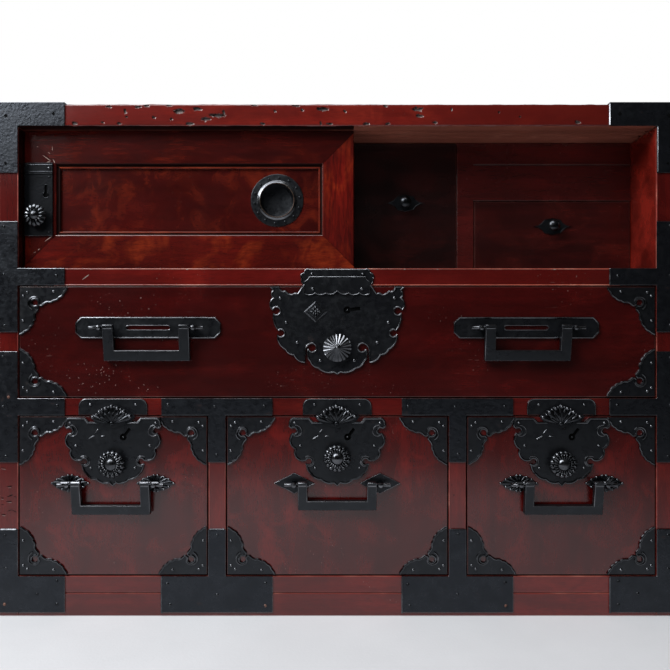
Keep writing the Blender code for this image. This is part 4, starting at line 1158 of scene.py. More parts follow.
class Piece:
    """One finished piece, modelled in millimetres where it belongs in the chest."""

    def __init__(self, name: str, *finishes: Finish) -> None:
        """Start an empty mesh, with the finishes as its slots.

        Args:
            name: Its name.
            finishes: Finishes of its slots.
        """
        self.name = name
        self.finishes = finishes
        self.mesh = bmesh.new()

    def add(self, part: Part, *slots: int) -> None:
        """Take over a part's faces.

        Args:
            part: The part, which is used up.
            slots: Slot of each kind of the part's faces; the last one holds for further kinds.
        """
        for face in part.faces:
            face.material_index = slots[min(face.material_index, len(slots) - 1)]
        absorb(self.mesh, part)

    def heads(self, points: Sequence[Span], face: float, size: Span, slot: int) -> None:
        """Set round heads on a face that looks forward.

        Args:
            points: Their places, across and up.
            face: Depth of the face.
            size: Their radius and rise.
            slot: Slot of their finish.
        """
        for x, z in points:
            self.add(dome((x, face, z), *size), slot)

    def done(self, body: str, slot: str, *nodes: str) -> bpy.types.Object:
        """Finish the piece and hang it on its body.

        Args:
            body: Body that it moves with.
            slot: Kind of finish that the piece belongs to; not used.
            nodes: Solids that it stands for.

        Returns:
            The piece's object.
        """
        self.mesh.transform(Matrix.Scale(MM, 4))
        mesh = meshed(self.mesh, self.name)
        for finish in self.finishes:
            mesh.materials.append(finish.material())
        mesh.shade_smooth()
        mesh.set_sharp_from_angle(angle=SMOOTH_ANGLE)
        item = linked(self.name, mesh)
        even = item.modifiers.new("even", "WEIGHTED_NORMAL")
        even.keep_sharp = True
        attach(item, body)
        if nodes:
            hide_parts(*nodes)
        LOG.info("%s: %d faces on %s", self.name, len(mesh.polygons), body)
        return item


@dataclass
class Solids:
    """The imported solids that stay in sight."""

    nodes: dict[str, bpy.types.Object]
    weld: float = 0.01
    flat_angle: float = math.radians(1)
    edge_angle: float = math.radians(40)

    def dress(self, name: str, finish: Finish, rim: Finish, ease: float) -> None:
        """Give a solid its finish and ease its edges.

        Args:
            name: The solid.
            finish: Finish of its faces.
            rim: Finish of its eased edges.
            ease: Width of the easing in millimetres.
        """
        item = self.nodes[name]
        item.data.materials.clear()
        item.data.materials.append(finish.material())
        item.data.materials.append(rim.material())
        weld = item.modifiers.new("weld", "WELD")
        weld.merge_threshold = self.weld * MM
        flat = item.modifiers.new("flat", "DECIMATE")
        flat.decimate_type = "DISSOLVE"
        flat.angle_limit = self.flat_angle
        soft = item.modifiers.new("ease", "BEVEL")
        soft.width = ease * MM
        soft.segments = 2
        soft.limit_method = "ANGLE"
        soft.angle_limit = self.edge_angle
        soft.material = 1
        LOG.info("%s: dressed", name)


# Case


FRONT = -206.75
IRON_FACE = -208.55
OVERCUT = 5.0
# Parts of a chip, by offset and size: the hollow, the painted shadow in its upper part and its pale lower lip
# with painted highlight
CHIP_PARTS = ((0.0, 0.0, 1.0), (0.2, -0.28, 0.95), (-0.24, 0.36, 0.7))
CHIP_SOFT = 0.3


@dataclass(frozen=True)
class Chip:
    """One place where a splinter came off: its middle and half its width and height."""

    x: float
    z: float
    half_width: float
    half_height: float
    depth: float = 1.6

    def at(self, x: float, z: float) -> tuple[float, float, float]:
        """Share of the hollow, of the painted shadow in its upper part and of its pale lower lip, partly bare
        wood and partly painted highlight, at a point.

        Args:
            x: Place across the front.
            z: Height.

        Returns:
            The three shares.
        """
        u, v = (x - self.x) / self.half_width, (z - self.z) / self.half_height
        ragged = 0.45 * noise.fractal(Vector((x * 0.3, self.x, z * 0.4)), 0.8, 2.0, 3)
        shares = []
        for aside, below, size in CHIP_PARTS:
            reach = math.hypot(u + aside, (v + below) * 1.1) + ragged
            shares.append(min(1.0, max(0.0, (size - reach) / CHIP_SOFT)))
        shares[1] *= 0.9
        shares[2] *= 0.25 + 0.75 * (self.x * 0.37 % 1.0)
        return tuple(shares)


@dataclass
class CaseBoards:
    """Boards of the case, with a worn and chipped front edge on the top board."""

    solids: Solids
    ease: float = 1.2
    strip: float = 5.0
    strip_cells: tuple[int, int] = (1100, 38)
    shaded_lip: float = 16.0
    door_edge: float = 22.0
    inner_half: float = 415.0
    groove_middles: Span = (-180.75, -158.75)
    groove_width: float = 11.0
    groove_depth: float = 8.0
    edge_wave: float = 0.55
    worn_band: float = 2.4
    worn_back: float = 1.3
    worn_fall: float = 0.5
    bright_half: float = 368.0
    bright_insets: Span = (0.4, 0.9)
    bright_radius: float = 0.8
    sill_chips: tuple[Span, ...] = ((-197.0, 4.0), (86.0, 3.4), (129.0, 3.0), (281.0, 4.2), (-322.0, 2.6))
    chips: tuple[Chip, ...] = (
        Chip(-297, 662.5, 3.9, 1.5), Chip(-258.5, 662, 4.2, 1.7), Chip(-248, 663.4, 3.5, 2.0),
        Chip(-276, 656.4, 1.7, 3.0), Chip(-218.7, 664, 3.4, 1.6), Chip(-206, 656.4, 7.2, 3.4, 2.2),
        Chip(-182, 659.5, 5.8, 2.5, 2.0),
        Chip(-154, 650.8, 9.4, 2.4, 2.0), Chip(-147.6, 654.6, 1.6, 4.2), Chip(-163, 651.5, 4.4, 1.9),
        Chip(-170.8, 646, 6.2, 2.5, 2.0), Chip(-238.6, 648.4, 2.0, 1.9), Chip(-216, 646.2, 1.7, 1.6),
        Chip(-53, 663.5, 5.0, 1.4), Chip(-45.6, 658, 1.9, 2.2), Chip(-18.5, 659, 7.6, 3.3, 2.2),
        Chip(-341.5, 640.8, 3.7, 2.3), Chip(-305.3, 642, 2.3, 1.5), Chip(-283.7, 640.3, 2.8, 2.2),
        Chip(-192.2, 639.8, 5.6, 2.0), Chip(-96.7, 639.8, 4.2, 1.7), Chip(-21.4, 640.6, 1.5, 2.5),
        Chip(-9.7, 639.8, 4.0, 1.7), Chip(-80.9, 656.5, 2.0, 1.7, 0.8), Chip(-107.9, 664.6, 4.2, 1.5),
        Chip(-274, 649.2, 1.4, 1.4), Chip(10, 656.4, 1.7, 1.9), Chip(63, 663.2, 3.2, 1.5),
        Chip(104.4, 659, 6.6, 3.2, 2.0), Chip(107, 650.4, 5.2, 1.9), Chip(38.6, 639.8, 4.6, 2.0),
        Chip(66, 639.8, 3.0, 1.6), Chip(127, 641.4, 3.6, 1.6), Chip(238, 649.2, 1.5, 1.2),
        Chip(210.6, 655, 1.1, 1.6), Chip(313, 641.8, 4.0, 2.2), Chip(149, 658.5, 0.9, 3.0, 0.8),
    )

    def dress(self) -> None:
        """Finish the boards that keep their solids."""
        finishes = {
            "base_rail": CASE_X, "bottom_board": CASE_X, "middle_shelf": CASE_SHELF,
            "left_side_board": CASE_LEFT, "right_side_board": CASE_RIGHT, "left_partition": CASE_Z,
            "right_partition": CASE_Z,
        }
        for name, finish in finishes.items():
            self.solids.dress(name, finish, WORN_RED, self.ease)
        self.solids.dress("door_sill_shelf", CASE_SILL, WORN_RED, 1.5 * self.ease)
        self.solids.dress("back_panel", BARE_X, BARE_X, self.ease / 2)

    def wear(self, part: Part, low: Vector, high: Vector) -> None:
        """Wear the front edges wavy, break the chips out and mark where they were, with the painted shadow and
        the pale lip of each.

        Args:
            part: The front strip.
            low: Lowest corner of the top board.
            high: Highest corner of the top board.
        """
        # dark holds each chip's painted shadow, pale its lip, partly bare wood and partly painted highlight
        hollow, dark, pale = (part.verts.layers.float.new(name) for name in ("hollow", "dark", "pale"))
        for vert in part.verts:
            x, y, z = vert.co
            if y > low.y + 0.1:
                continue
            sway = noise.fractal(Vector((x * 0.035, 5.3, z)), 0.9, 2.1, 4)
            for edge, way in ((high.z - z, -1.0), (z - low.z, 1.0)):
                if edge < self.worn_band:
                    fall = (1 - edge / self.worn_band) ** 2
                    drop = way * fall * (self.worn_fall + self.edge_wave * sway)
                    vert.co += Vector((0, self.worn_back * fall, drop))
            for chip in self.chips:
                if abs(x - chip.x) > 1.6 * chip.half_width + 1:
                    continue
                shares = chip.at(x, z)
                vert.co.y += chip.depth * shares[0]
                for layer, share in zip((hollow, dark, pale), shares):
                    vert[layer] = max(vert[layer], share)

    def front_strip(self, low: Vector, high: Vector) -> Part:
        """Make the finely divided front of the top board.

        Args:
            low: Lowest corner of the top board.
            high: Highest corner of the top board.

        Returns:
            The strip.
        """
        part = board((low.x, high.x), (low.y, low.y + self.strip), (low.z, high.z))
        for axis, cuts in zip((0, 2), self.strip_cells):
            along = [
                edge for edge in part.edges
                if abs((edge.verts[0].co - edge.verts[1].co).normalized()[axis]) > 0.99
            ]
            bmesh.ops.subdivide_edges(part, edges=along, cuts=cuts, use_grid_fill=True)
        self.wear(part, low, high)
        bmesh.ops.recalc_face_normals(part, faces=part.faces[:])
        return part

    def top(self) -> None:
        """Build the top board with its two door grooves, its worn front and painted shade under its front over
        the door bay.
        """
        low, high = box_of("top_board")
        half = self.groove_width / 2
        across = (-self.inner_half, self.inner_half)
        deep = (low.z - OVERCUT, low.z + self.groove_depth)
        grooves = [board(across, (y - half, y + half), deep) for y in self.groove_middles]
        main = board((low.x, high.x), (low.y + self.strip, high.y), (low.z, high.z))
        main = carved(main, *grooves)
        bare = low.y + self.shaded_lip
        for way in ((0, 1, 0), (1, 0, 0)):
            whole = main.verts[:] + main.edges[:] + main.faces[:]
            corner = (self.door_edge, bare, 0)
            bmesh.ops.bisect_plane(main, geom=whole, dist=MERGE, plane_co=corner, plane_no=way)
        # Underside: bare head wood, but painted shade on the front lip over the door bay
        for face in main.faces:
            middle = face.calc_center_median()
            under = middle.z < high.z - 1 and abs(face.normal.x) < 0.5 and middle.y < high.y - 1
            face.material_index = (1 if middle.y > bare or middle.x > self.door_edge else 2) if under else 0
        piece = Piece("top_board_worn", CASE_CHIPPED, HEAD_WOOD, PAINTED_SHADE)
        piece.add(main, 0, 1, 2)
        strip = self.front_strip(low, high)
        # The strip's underside over the door bay takes the painted shade too
        for face in strip.faces:
            if face.normal.z < -0.9:
                face.material_index = 1 if face.calc_center_median().x > self.door_edge else 2
        piece.add(strip, 0, 1, 2)
        piece.done("case", "red_lacquer", "top_board")

    def sill_edges(self) -> None:
        """Lay bright sticks along the two front edges of the sill, partly rubbed lacquer and partly painted
        highlight, and chip them in places.
        """
        low, high = box_of("door_sill_shelf")
        piece = Piece("sill_edge_wear_and_highlight", BRIGHT_EDGE, SCRATCHED)
        for z in (low.z + self.bright_insets[0], high.z - self.bright_insets[1]):
            ends = [(side * self.bright_half, FRONT + 0.3, z) for side in SIDES]
            piece.add(stick(*ends, self.bright_radius), 0)
        for x, length in self.sill_chips:
            tips = ((x, high.z - 1.5), (x + length, high.z - 1.2))
            piece.add(lobe(*tips, (FRONT, FRONT), (1.0, 1.6), 0.7, 6), 1)
        piece.done("case", "red_lacquer")

    def build(self) -> None:
        """Make the whole case."""
        self.dress()
        self.sill_edges()
        self.top()


@dataclass
class CaseIrons:
    """Straps at the corners and posts, their nails, and the keepers on the rails."""

    solids: Solids
    ease: float = 0.45
    nail: Span = (2.1, 1.2)
    rivet: Span = (2.1, 1.68)
    strap_nails: tuple[Span, ...] = (
        (430.0, 650.7), (367.6, 652.6), (430.0, 588.3), (432.6, 507.0), (432.6, 443.3), (364.3, 442.0),
        (432.0, 377.5), (433.2, 336.7), (433.2, 273.0), (364.3, 274.3), (430.6, 208.0), (430.6, 106.0),
        (430.6, 62.4), (364.3, 46.2), (390.3, 28.6), (364.3, 15.6),
    )
    square_above: float = 580.0
    square_half: Span = (1.1, 1.2)
    square_rise: float = 0.4
    nail_drift: float = 1.0
    seed: int = 7
    glint_thick: float = 1.9
    glint_ease: float = 0.25
    glint_inset: Span = (0.5, 0.7)
    glint_turn: float = 38.0
    glint_tilt: float = 33.0
    upright_glints: tuple[tuple[str, Span], ...] = (
        ("top_right", (638.0, 665.6)), ("sill_right", (430.6, 451.4)), ("rail_right", (262.0, 282.0)),
        ("base_right", (4.0, 50.0)), ("post_foot_left", (4.0, 50.0)), ("post_foot_right", (4.0, 50.0)),
    )
    inner_glint: tuple[float, Span] = (416.0, (577.0, 636.0))
    level_glints: tuple[tuple[str, Span], ...] = (
        ("base_left", (-437.0, -417.0)), ("base_right", (417.0, 437.0)), ("post_foot_left", (-165.5, -146.5)),
        ("post_foot_right", (146.5, 165.5)),
    )
    rusty_nails: tuple[Span, ...] = ((-426.7, 284.7), (-431.9, 15.6), (219.0, 13.7), (-93.5, 13.7))
    post_middle: float = 156.25
    post_nails: tuple[Span, ...] = (
        (-63.4, 273.7), (-2.3, 273.0), (62.0, 273.0), (0.0, 210.6), (-64.0, 41.6), (62.7, 42.9), (0.0, 28.6),
        (-61.4, 14.3), (62.7, 13.9), (0.0, 106.6),
    )
    side_nails: tuple[Span, ...] = (
        (-195.0, 650.0), (-132.0, 650.0), (-195.0, 588.0), (-195.0, 507.0), (-132.0, 441.0), (-195.0, 377.0),
        (-195.0, 337.0), (-132.0, 272.0), (-195.0, 208.0), (-195.0, 106.0), (-132.0, 44.0), (-195.0, 15.0),
    )
    side_face: float = 441.8
    keeper_places: tuple[float, ...] = (-291.25, 0.0, 291.25)
    keeper_rim: float = 0.8
    keeper_half: float = 44.0
    keeper_face: float = -208.05
    keeper_thick: float = 1.3
    keeper_rivet: Span = (29.5, 13.8)
    large_keeper: tuple[tuple, ...] = (
        (0.0, 450.3), (36.4, 450.3, 0.7), (42.3, 446.0, 0.7), (46.0, 438.3, 0.3), (44.5, 431.5), (0.0, 431.5),
    )
    large_rivet: Span = (33.0, 444.6)

    def dress(self) -> None:
        """Finish the straps that keep their solids."""
        for side in ("left", "right"):
            for place in ("top", "sill", "rail", "base", "post_top", "post_foot"):
                self.solids.dress(f"iron_{place}_{side}", STRAP, RUBBED, self.ease)

    def glint(self, length: float, turn: float, axis: str, place: Vector) -> Part:
        """Bar that stands for the highlight on an iron's edge, turned so that one face meets the light.

        Args:
            length: Its length.
            turn: Degrees that it turns.
            axis: Axis that it lies along and turns about.
            place: Its middle.

        Returns:
            The bar.
        """
        half = self.glint_thick / 2
        spans = [(-half, half)] * 3
        spans["XYZ".index(axis)] = (-length / 2, length / 2)
        part = board(*spans, self.glint_ease)
        part.transform(Matrix.Translation(place) @ Matrix.Rotation(math.radians(turn), 4, axis))
        return part

    def glints(self) -> None:
        """Lay bars of bright metal along edges of the irons as stand-ins for their highlights, brighter on the
        top and sill edges.
        """
        piece = Piece("strap_edge_glints", RUBBED, CARVED)
        lines = []
        for name, span in self.upright_glints:
            lines.append((box_of(f"iron_{name}")[0].x, span, name.startswith(("top", "sill"))))
        lines.append((*self.inner_glint, True))
        aside, back = self.glint_inset
        # Upper edges get bright metal, lower ones darker metal for their dimmer highlights
        for x, (low, high), bright in lines:
            place = Vector((x + aside, IRON_FACE + back, (low + high) / 2))
            piece.add(self.glint(high - low, -self.glint_turn, "Z", place), 0 if bright else 1)
        for name, (low, high) in self.level_glints:
            place = Vector(((low + high) / 2, IRON_FACE + back, box_of(f"iron_{name}")[1].z - aside))
            piece.add(self.glint(high - low, -self.glint_tilt, "X", place), 1)
        piece.done("case", "black_iron")

    def nails(self) -> None:
        """Drive the nails, a little out of line as by hand."""
        chance = random.Random(self.seed)
        drift = (-self.nail_drift, self.nail_drift)
        radius, rise = self.nail
        piece = Piece("strap_nails", RELIEF, RUSTY, PIT)
        front = mirrored(self.strap_nails, 0, 0)
        front += [(side * self.post_middle + x, z) for side in SIDES for x, z in self.post_nails]
        for x, z in front:
            place = (x + chance.uniform(*drift), IRON_FACE, z + chance.uniform(*drift))
            size = radius * chance.uniform(0.85, 1.15)
            if z > self.square_above:
                w, h = (size * share for share in self.square_half)
                head = placed([(0, h), (w, 0), (0, -h), (-w, 0)], place[0], place[2])
                piece.add(plate(head, IRON_FACE - self.square_rise, self.square_rise + 0.1), 2)
            else:
                piece.add(dome(place, size, rise), 0)
        piece.heads(self.rusty_nails, IRON_FACE, self.nail, 1)
        for side, facing in zip(SIDES, (Facing.LEFT, Facing.RIGHT)):
            for y, z in self.side_nails:
                place = (side * self.side_face, y + chance.uniform(*drift), z + chance.uniform(*drift))
                piece.add(dome(place, *self.nail, facing), 0)
        piece.done("case", "black_iron")

    def keeper(self, piece: Piece, half: Sequence[tuple], x: float, rivets: Outline) -> None:
        """Lay one keeper plate, with a rim along its edge but for the foot, and two rivets.

        Args:
            piece: The keepers.
            half: Right half of its outline.
            x: Its middle.
            rivets: Places of its rivets.
        """
        outline = placed(both_sides(half), x, 0)
        foot = len(curve(half))
        piece.add(plate(outline, self.keeper_face, self.keeper_thick), 0)
        piece.add(wire(outline[foot:] + outline[: foot - 1], self.keeper_face, self.keeper_rim, False), 1)
        piece.heads(rivets, self.keeper_face, self.rivet, 1)

    def keepers(self) -> None:
        """Lay the keeper plates over the rails, where the lock bolts rise."""
        piece = Piece("rail_keepers", BLACK, RUBBED)
        low, high = box_of("middle_shelf")
        w, top, foot = self.keeper_half, high.z - 1, low.z + 0.6
        corner = ((0, top), (w - 9, top, 0.4), (w, top - 9), (w, foot), (0, foot))
        for x in self.keeper_places:
            self.keeper(piece, corner, x, mirrored([self.keeper_rivet], x, low.z))
        self.keeper(piece, self.large_keeper, 0.0, mirrored([self.large_rivet], 0, 0))
        piece.done("case", "black_iron")

    def build(self) -> None:
        """Make all the irons of the case."""
        self.dress()
        self.glints()
        self.nails()
        self.keepers()


# Drawers


class Rosette(Enum):
    """Shape of the plate under a small handle's post."""

    LEAF = ((0, 10, 0.1), (13, 7, 0.1), (23, 0, 0.1), (13, -7, 0.1), (0, -10))
    DIAMOND = ((0, 13), (26, 0), (0, -13))


ROSETTE_PETALS = (
    (0, 25), (16, 19), (38, 14.5), (76, 12), (104, 12), (142, 14.5), (164, 19), (180, 25), (196, 19),
    (218, 14.5), (256, 12), (284, 12), (322, 14.5), (344, 19),
)
CORNER_EDGE = (
    (0, 61, 0.12), (7, 56.5, 0.3), (12.8, 51, 0.3), (16.8, 43.8, 0.3), (18.8, 36, -0.15), (22.6, 29.5, 0.6),
    (21.6, 24.2, -5.2), (24.2, 21.6, 0.6), (29.5, 22.6, -0.15), (36, 18.8, 0.3), (43.8, 16.8, 0.3),
    (51, 12.8, 0.3), (56.5, 7, 0.12), (61, 0), (0, 0),
)
CORNER_CURL = ((19.8, 19.7), 9.6, (110.0, 350.0))
CORNER_NAILS = ((9.6, 6.6), (4.4, 11.2), (43.8, 5.6), (4.0, 43.4))
POST_RADIUS = 3.6
POST_TIP = -223.25
BUTTON_PRESS = 6.0
WELL_HALF = 8.0
CLEARANCE = 0.6


def post(x: float, z: float, front: float) -> Part:
    """Eye post that a handle swings in, with a rounded tip.

    Args:
        x: Its place across.
        z: Its height.
        front: Depth of the face that it stands on.

    Returns:
        The post, with its tip as kind 1.
    """
    radius, foot, tip = POST_RADIUS, POST_RADIUS + 0.4, POST_TIP
    profile = (
        (0, front + 0.4), (foot, front + 0.4), (foot, front - 0.7), (radius, front - 1.6),
        (radius, tip + 2.6, 1), (radius * 0.8, tip + 0.7, 1), (radius * 0.4, tip + 0.1, 1), (0, tip),
    )
    return turned(x, z, profile, 20)


def button_well(owner: str, face: float) -> Part:
    """Room behind a face for a lock button and its stem, pressed in.

    Args:
        owner: Drawer or door that has the lock.
        face: Depth of its front face.

    Returns:
        The shape to cut out.
    """
    x, _, z = middle_of(f"{owner}_lock_button")
    deep = box_of(f"{owner}_lock_button")[1].y + BUTTON_PRESS
    half = WELL_HALF
    return board((x - half, x + half), (face - 2, deep), (z - half, z + half))


@dataclass
class DrawerFront:
    """Lacquered front of one drawer with its corner plates, and the posts of its handle."""

    name: str
    rosette: Rosette | None = None
    thick: float = 22.0
    ease: float = 1.0
    trim: float = 0.4
    inset: float = 1.5
    corner_thick: float = 1.2
    corner_rim: float = 1.4
    corner_nail: Span = (2.1, 1.7)
    pin_height: float = 172.8
    post_half: float = 55.6
    rosette_thick: float = 1.4
    rosette_rim: float = 0.6
    rosette_bead: Span = (1.7, 1.4)

    def board(self) -> None:
        """Plane the front and cut the room for its lock."""
        low, high = box_of(f"{self.name}_front")
        bolt_low, bolt_high = box_of(f"{self.name}_lock_bolt")
        x, y = ((a - CLEARANCE, b + CLEARANCE) for a, b in zip(bolt_low[:2], bolt_high[:2]))
        room = board(x, y, (bolt_low.z - 1, high.z + OVERCUT))
        x, z = ((a + self.trim, b - self.trim) for a, b in ((low.x, high.x), (low.z, high.z)))
        front = board(x, (FRONT, FRONT + self.thick), z, self.ease)
        piece = Piece(f"{self.name}_board", SMALL_RED if self.rosette else DRAWER_RED, WORN_DRAWER)
        piece.add(carved(front, room, button_well(self.name, FRONT)), 0, 1)
        piece.done(self.name, "red_lacquer", f"{self.name}_front")

    def irons(self) -> None:
        """Nail on the corner plates, and set the rosettes and posts of a small handle."""
        low, high = box_of(f"{self.name}_front")
        piece = Piece(f"{self.name}_corner_irons", BLACK, RUBBED, RELIEF, CARVED)
        face = FRONT - self.corner_thick
        for across, x in zip((1, -1), (low.x + self.inset, high.x - self.inset)):
            for up, z in zip((1, -1), (low.z + self.inset, high.z - self.inset)):
                outline, scroll, nails = (
                    placed(shape, x, z, 1.0, (across, up))
                    for shape in (curve(CORNER_EDGE), curl(*CORNER_CURL), CORNER_NAILS)
                )
                piece.add(plate(outline, face, self.corner_thick + 0.1), 0)
                for path in (outline[:-1], scroll):
                    piece.add(wire(path, face, self.corner_rim, False), 3)
                piece.heads(nails, face, self.corner_nail, 1)
        if self.rosette:
            for side in SIDES:
                self.mount(piece, (low.x + high.x) / 2 + side * self.post_half)
        piece.done(self.name, "black_iron")

    def mount(self, piece: Piece, x: float) -> None:
        """Set one rosette and its post.

        Args:
            piece: The irons of this drawer.
            x: Place of the post.
        """
        face = FRONT - self.rosette_thick
        leaf = self.rosette is Rosette.LEAF
        outline = placed(both_sides(self.rosette.value), x, self.pin_height)
        rosette = plate(outline, face, self.rosette_thick + 0.1, self.rosette_rim)
        piece.add(rosette, *((2, 2) if leaf else (0, 1)))
        middle = Vector((x, self.pin_height))
        for turn, reach in ROSETTE_PETALS if leaf else ():
            way = heading(math.radians(turn))
            piece.add(lobe(middle + way * 3, middle + way * reach, (face - 0.3, face), (2, 7), 1.5), 2)
            piece.heads([middle + way * (reach - 1.6)], face - 0.2, self.rosette_bead, 1)
        piece.add(post(x, self.pin_height, face), 2, 1)

    def build(self) -> None:
        """Make the front."""
        self.board()
        self.irons()


@dataclass
class HandlePlate:
    """Long plate with a finger slot and two posts, for one handle of the large drawer."""

    side: str
    height: float = 374.8
    half_width: float = 93.5
    half_height: float = 12.9
    chamfer: float = 7.0
    thick: float = 1.8
    proud: float = 0.3
    rim: float = 1.0
    slot: Span = (26.0, 3.0)
    post_half: float = 60.6

    def build(self) -> None:
        """Make the plate."""
        name = f"large_drawer_handle_plate_{self.side}"
        x = middle_of(name).x
        w, h, c = self.half_width, self.half_height, self.chamfer
        half = ((0, h), (w - c, h), (w, h - c), (w, c - h), (w - c, -h), (0, -h))
        w, h = self.slot
        hole = ((0, h), (w, h, 0.9), (w, -h), (0, -h))
        outline, slot = (placed(both_sides(shape), x, self.height) for shape in (half, hole))
        piece = Piece(name + "_dressed", BLACK, RUBBED)
        piece.add(plate(outline, IRON_FACE - self.proud, self.thick, self.rim, [slot]), 0, 1)
        for side in SIDES:
            piece.add(post(x + side * self.post_half, self.height, IRON_FACE), 0, 1)
        piece.done("large_drawer", "black_iron", name)


# Locks


LARGE_EDGE = (
    (0, 81.5), (42, 81.5), (50.5, 69, 0.3), (58, 68, -0.2), (65.5, 71.2, 0.5), (69, 71.8, -0.35), (75, 78),
    (85.8, 78, -0.2), (81.5, 73.4, 0.6), (81.2, 64.2, 0.5), (83.2, 48.8, -3.9), (82, 43.8, 0.2),
    (75.6, 22.6, -3.05), (76.8, 16.8, 0.3), (66, -2, 0.32), (55.4, -8.7, 0.3), (41.7, -18.7, -0.1),
    (41, -6, -0.45), (33, 6.1, -0.42), (26.7, 0.3, -0.42), (32, -5.5, -0.25), (37, -2.2, 0.3),
    (37.5, -9, 0.25), (34, -17.5, 0.32), (24, -25.6, 0.28), (4, -30.8), (0, -33.4),
)
LARGE_CREST = (
    (0, 91), (36, 91, -0.3), (42, 85), (42, 70, 0.35), (28.5, 70.5, 0.35), (14.5, 70.5, 0.35), (3, 70.8),
    (0, 73),
)
SMALL_EDGE = (
    (0, 52), (32.1, 51.5), (36.3, 57), (56.6, 57, 0.35), (60.4, 50.5, 0.45), (58, 45.4, -1.7),
    (57, 37.5, 0.5), (52.9, 18.7, 0.68), (40.4, 4.4, -2.7), (38.6, -1.4, 0.22), (33, -13.5, 0.25),
    (20, -20.3, 0.3), (4, -24.2), (0, -28),
)
SMALL_CREST = ((0, 73.5, 0.1), (14, 70.5, 0.1), (24, 63.5), (29, 59.5), (22, 52), (0, 45))
SMALL_WING = ((30.5, 51.5), (36.0, 57.0), (56.0, 57.0))
PLATE_BACK = -207.05
CREST_FACE = -210.05
CREST_THICK = 1.5


@dataclass
class Lock:
    """Lock plate of a drawer, by default a small one.

    It has a shaped edge with a rim, a crest, a keyhole with a dark disc of painted shade behind it and its
    pin, and rivets.
    """

    drawer: str
    edge: tuple[tuple, ...] = SMALL_EDGE
    crest: tuple[tuple, ...] = SMALL_CREST
    z: float = 198.8
    width: float = 123.5
    rims: Span = (1.5, 0.0)
    rim_slot: int = 4
    key: tuple[Span, Span] = ((13.5, 34.0), (22.0, 45.0))
    key_size: Span = (4.6, 4.0)
    pit: tuple[float, float, float] = (17.0, 39.0, 13.0)
    pin: Span = (1.5, 2.4)
    rivets: tuple[Span, ...] = ((55.5, 52.5), (48.0, 22.8), (28.8, -6.2))
    rivet: Span = (2.1, 1.8)

    def middle(self) -> float:
        """Middle of the lock across the front."""
        return middle_of(f"{self.drawer}_lock_plate").x

    def outline(self, half: Sequence[tuple]) -> Outline:
        """Bring an outline to the scale at which the edge has its full width, and to its place."""
        reach = max(u for u, _ in both_sides(self.edge))
        return placed(both_sides(half), self.middle(), self.z, self.width / (2 * reach))

    def start(self, *finishes: Finish) -> Piece:
        """Cut the plate and its crest, pierce the keyhole and set its pin and the rivets.

        Args:
            finishes: Finishes of the piece: skin, rubbed, its own and the keyhole's painted shade, and others.

        Returns:
            The piece so far.
        """
        piece = Piece(f"{self.drawer}_lock_plate_dressed", *finishes)
        x, z = self.middle(), self.z
        hole = placed(keyhole(*self.key, *self.key_size), x, z)
        body = plate(self.outline(self.edge), IRON_FACE, PLATE_BACK - IRON_FACE, self.rims[0], [hole], 0)
        piece.add(body, 0, self.rim_slot)
        piece.add(plate(self.outline(self.crest), CREST_FACE, CREST_THICK, self.rims[1]), 0, 1)
        # Dark disc behind the keyhole: painted shade inside the lock
        u, v, radius = self.pit
        piece.add(plate(ring(x + u, z + v, radius), FRONT - 0.25, 0.2, 0.05), 3)
        piece.heads(placed(self.key[:1], x, z), FRONT - 0.4, self.pin, 1)
        piece.heads(mirrored(self.rivets, x, z), IRON_FACE, self.rivet, 1)
        return piece


@dataclass
class LargeLock(Lock):
    """Lock of the large drawer, with a diamond boss."""

    drawer: str = "large_drawer"
    edge: tuple[tuple, ...] = LARGE_EDGE
    crest: tuple[tuple, ...] = LARGE_CREST
    z: float = 348.8
    width: float = 174.0
    rims: Span = (1.15, 0.65)
    rim_slot: int = 1
    key: tuple[Span, Span] = ((13.0, 49.0), (30.0, 51.0))
    key_size: Span = (4.8, 4.4)
    pit: tuple[float, float, float] = (19.0, 50.0, 14.0)
    pin: Span = (1.6, 2.6)
    rivets: tuple[Span, ...] = ((74.2, 64.6), (66.3, 32.7), (52.0, 6.8), (22.1, -16.6))
    rivet: Span = (2.5, 2.0)
    crest_rivet: Span = (31.8, 76.3)
    boss: Span = (-28.0, 46.8)
    boss_half: Span = (15.6, 14.3)
    boss_steps: tuple[Span, ...] = ((1.0, 1.7), (0.72, 2.0))
    boss_chamfer: float = 2.2
    flower: tuple[float, ...] = (7.4, 5.4) * 4

    def diamond(self, piece: Piece) -> None:
        """Raise the diamond boss with its rim and flower.

        Args:
            piece: The lock plate.
        """
        middle = Vector(placed([self.boss], self.middle(), self.z)[0])
        for slot, (share, rise) in zip((1, 2), self.boss_steps):
            w, h = (share * half for half in self.boss_half)
            front = IRON_FACE - rise
            lozenge = plate(placed([(0, h), (w, 0), (0, -h), (-w, 0)], *middle), front, 1.8)
            piece.add(bevelled(lozenge, front, self.boss_chamfer * share), 0, slot)
        face = IRON_FACE - 2.1
        for k, reach in enumerate(self.flower):
            way = heading(math.tau * k / len(self.flower))
            tips = (middle + way * 1.6, middle + way * reach)
            piece.add(lobe(*tips, (face - 0.3, face), (2.2, 3.4), 1.3), 2)
        piece.heads([middle], face, (2.3, 2.2), 2)

    def build(self) -> None:
        """Make the lock plate."""
        piece = self.start(BLACK, RUBBED, CARVED, PIT)
        self.diamond(piece)
        piece.heads(mirrored([self.crest_rivet], self.middle(), self.z), CREST_FACE, self.rivet, 1)
        piece.done(self.drawer, "black_iron", f"{self.drawer}_lock_plate")


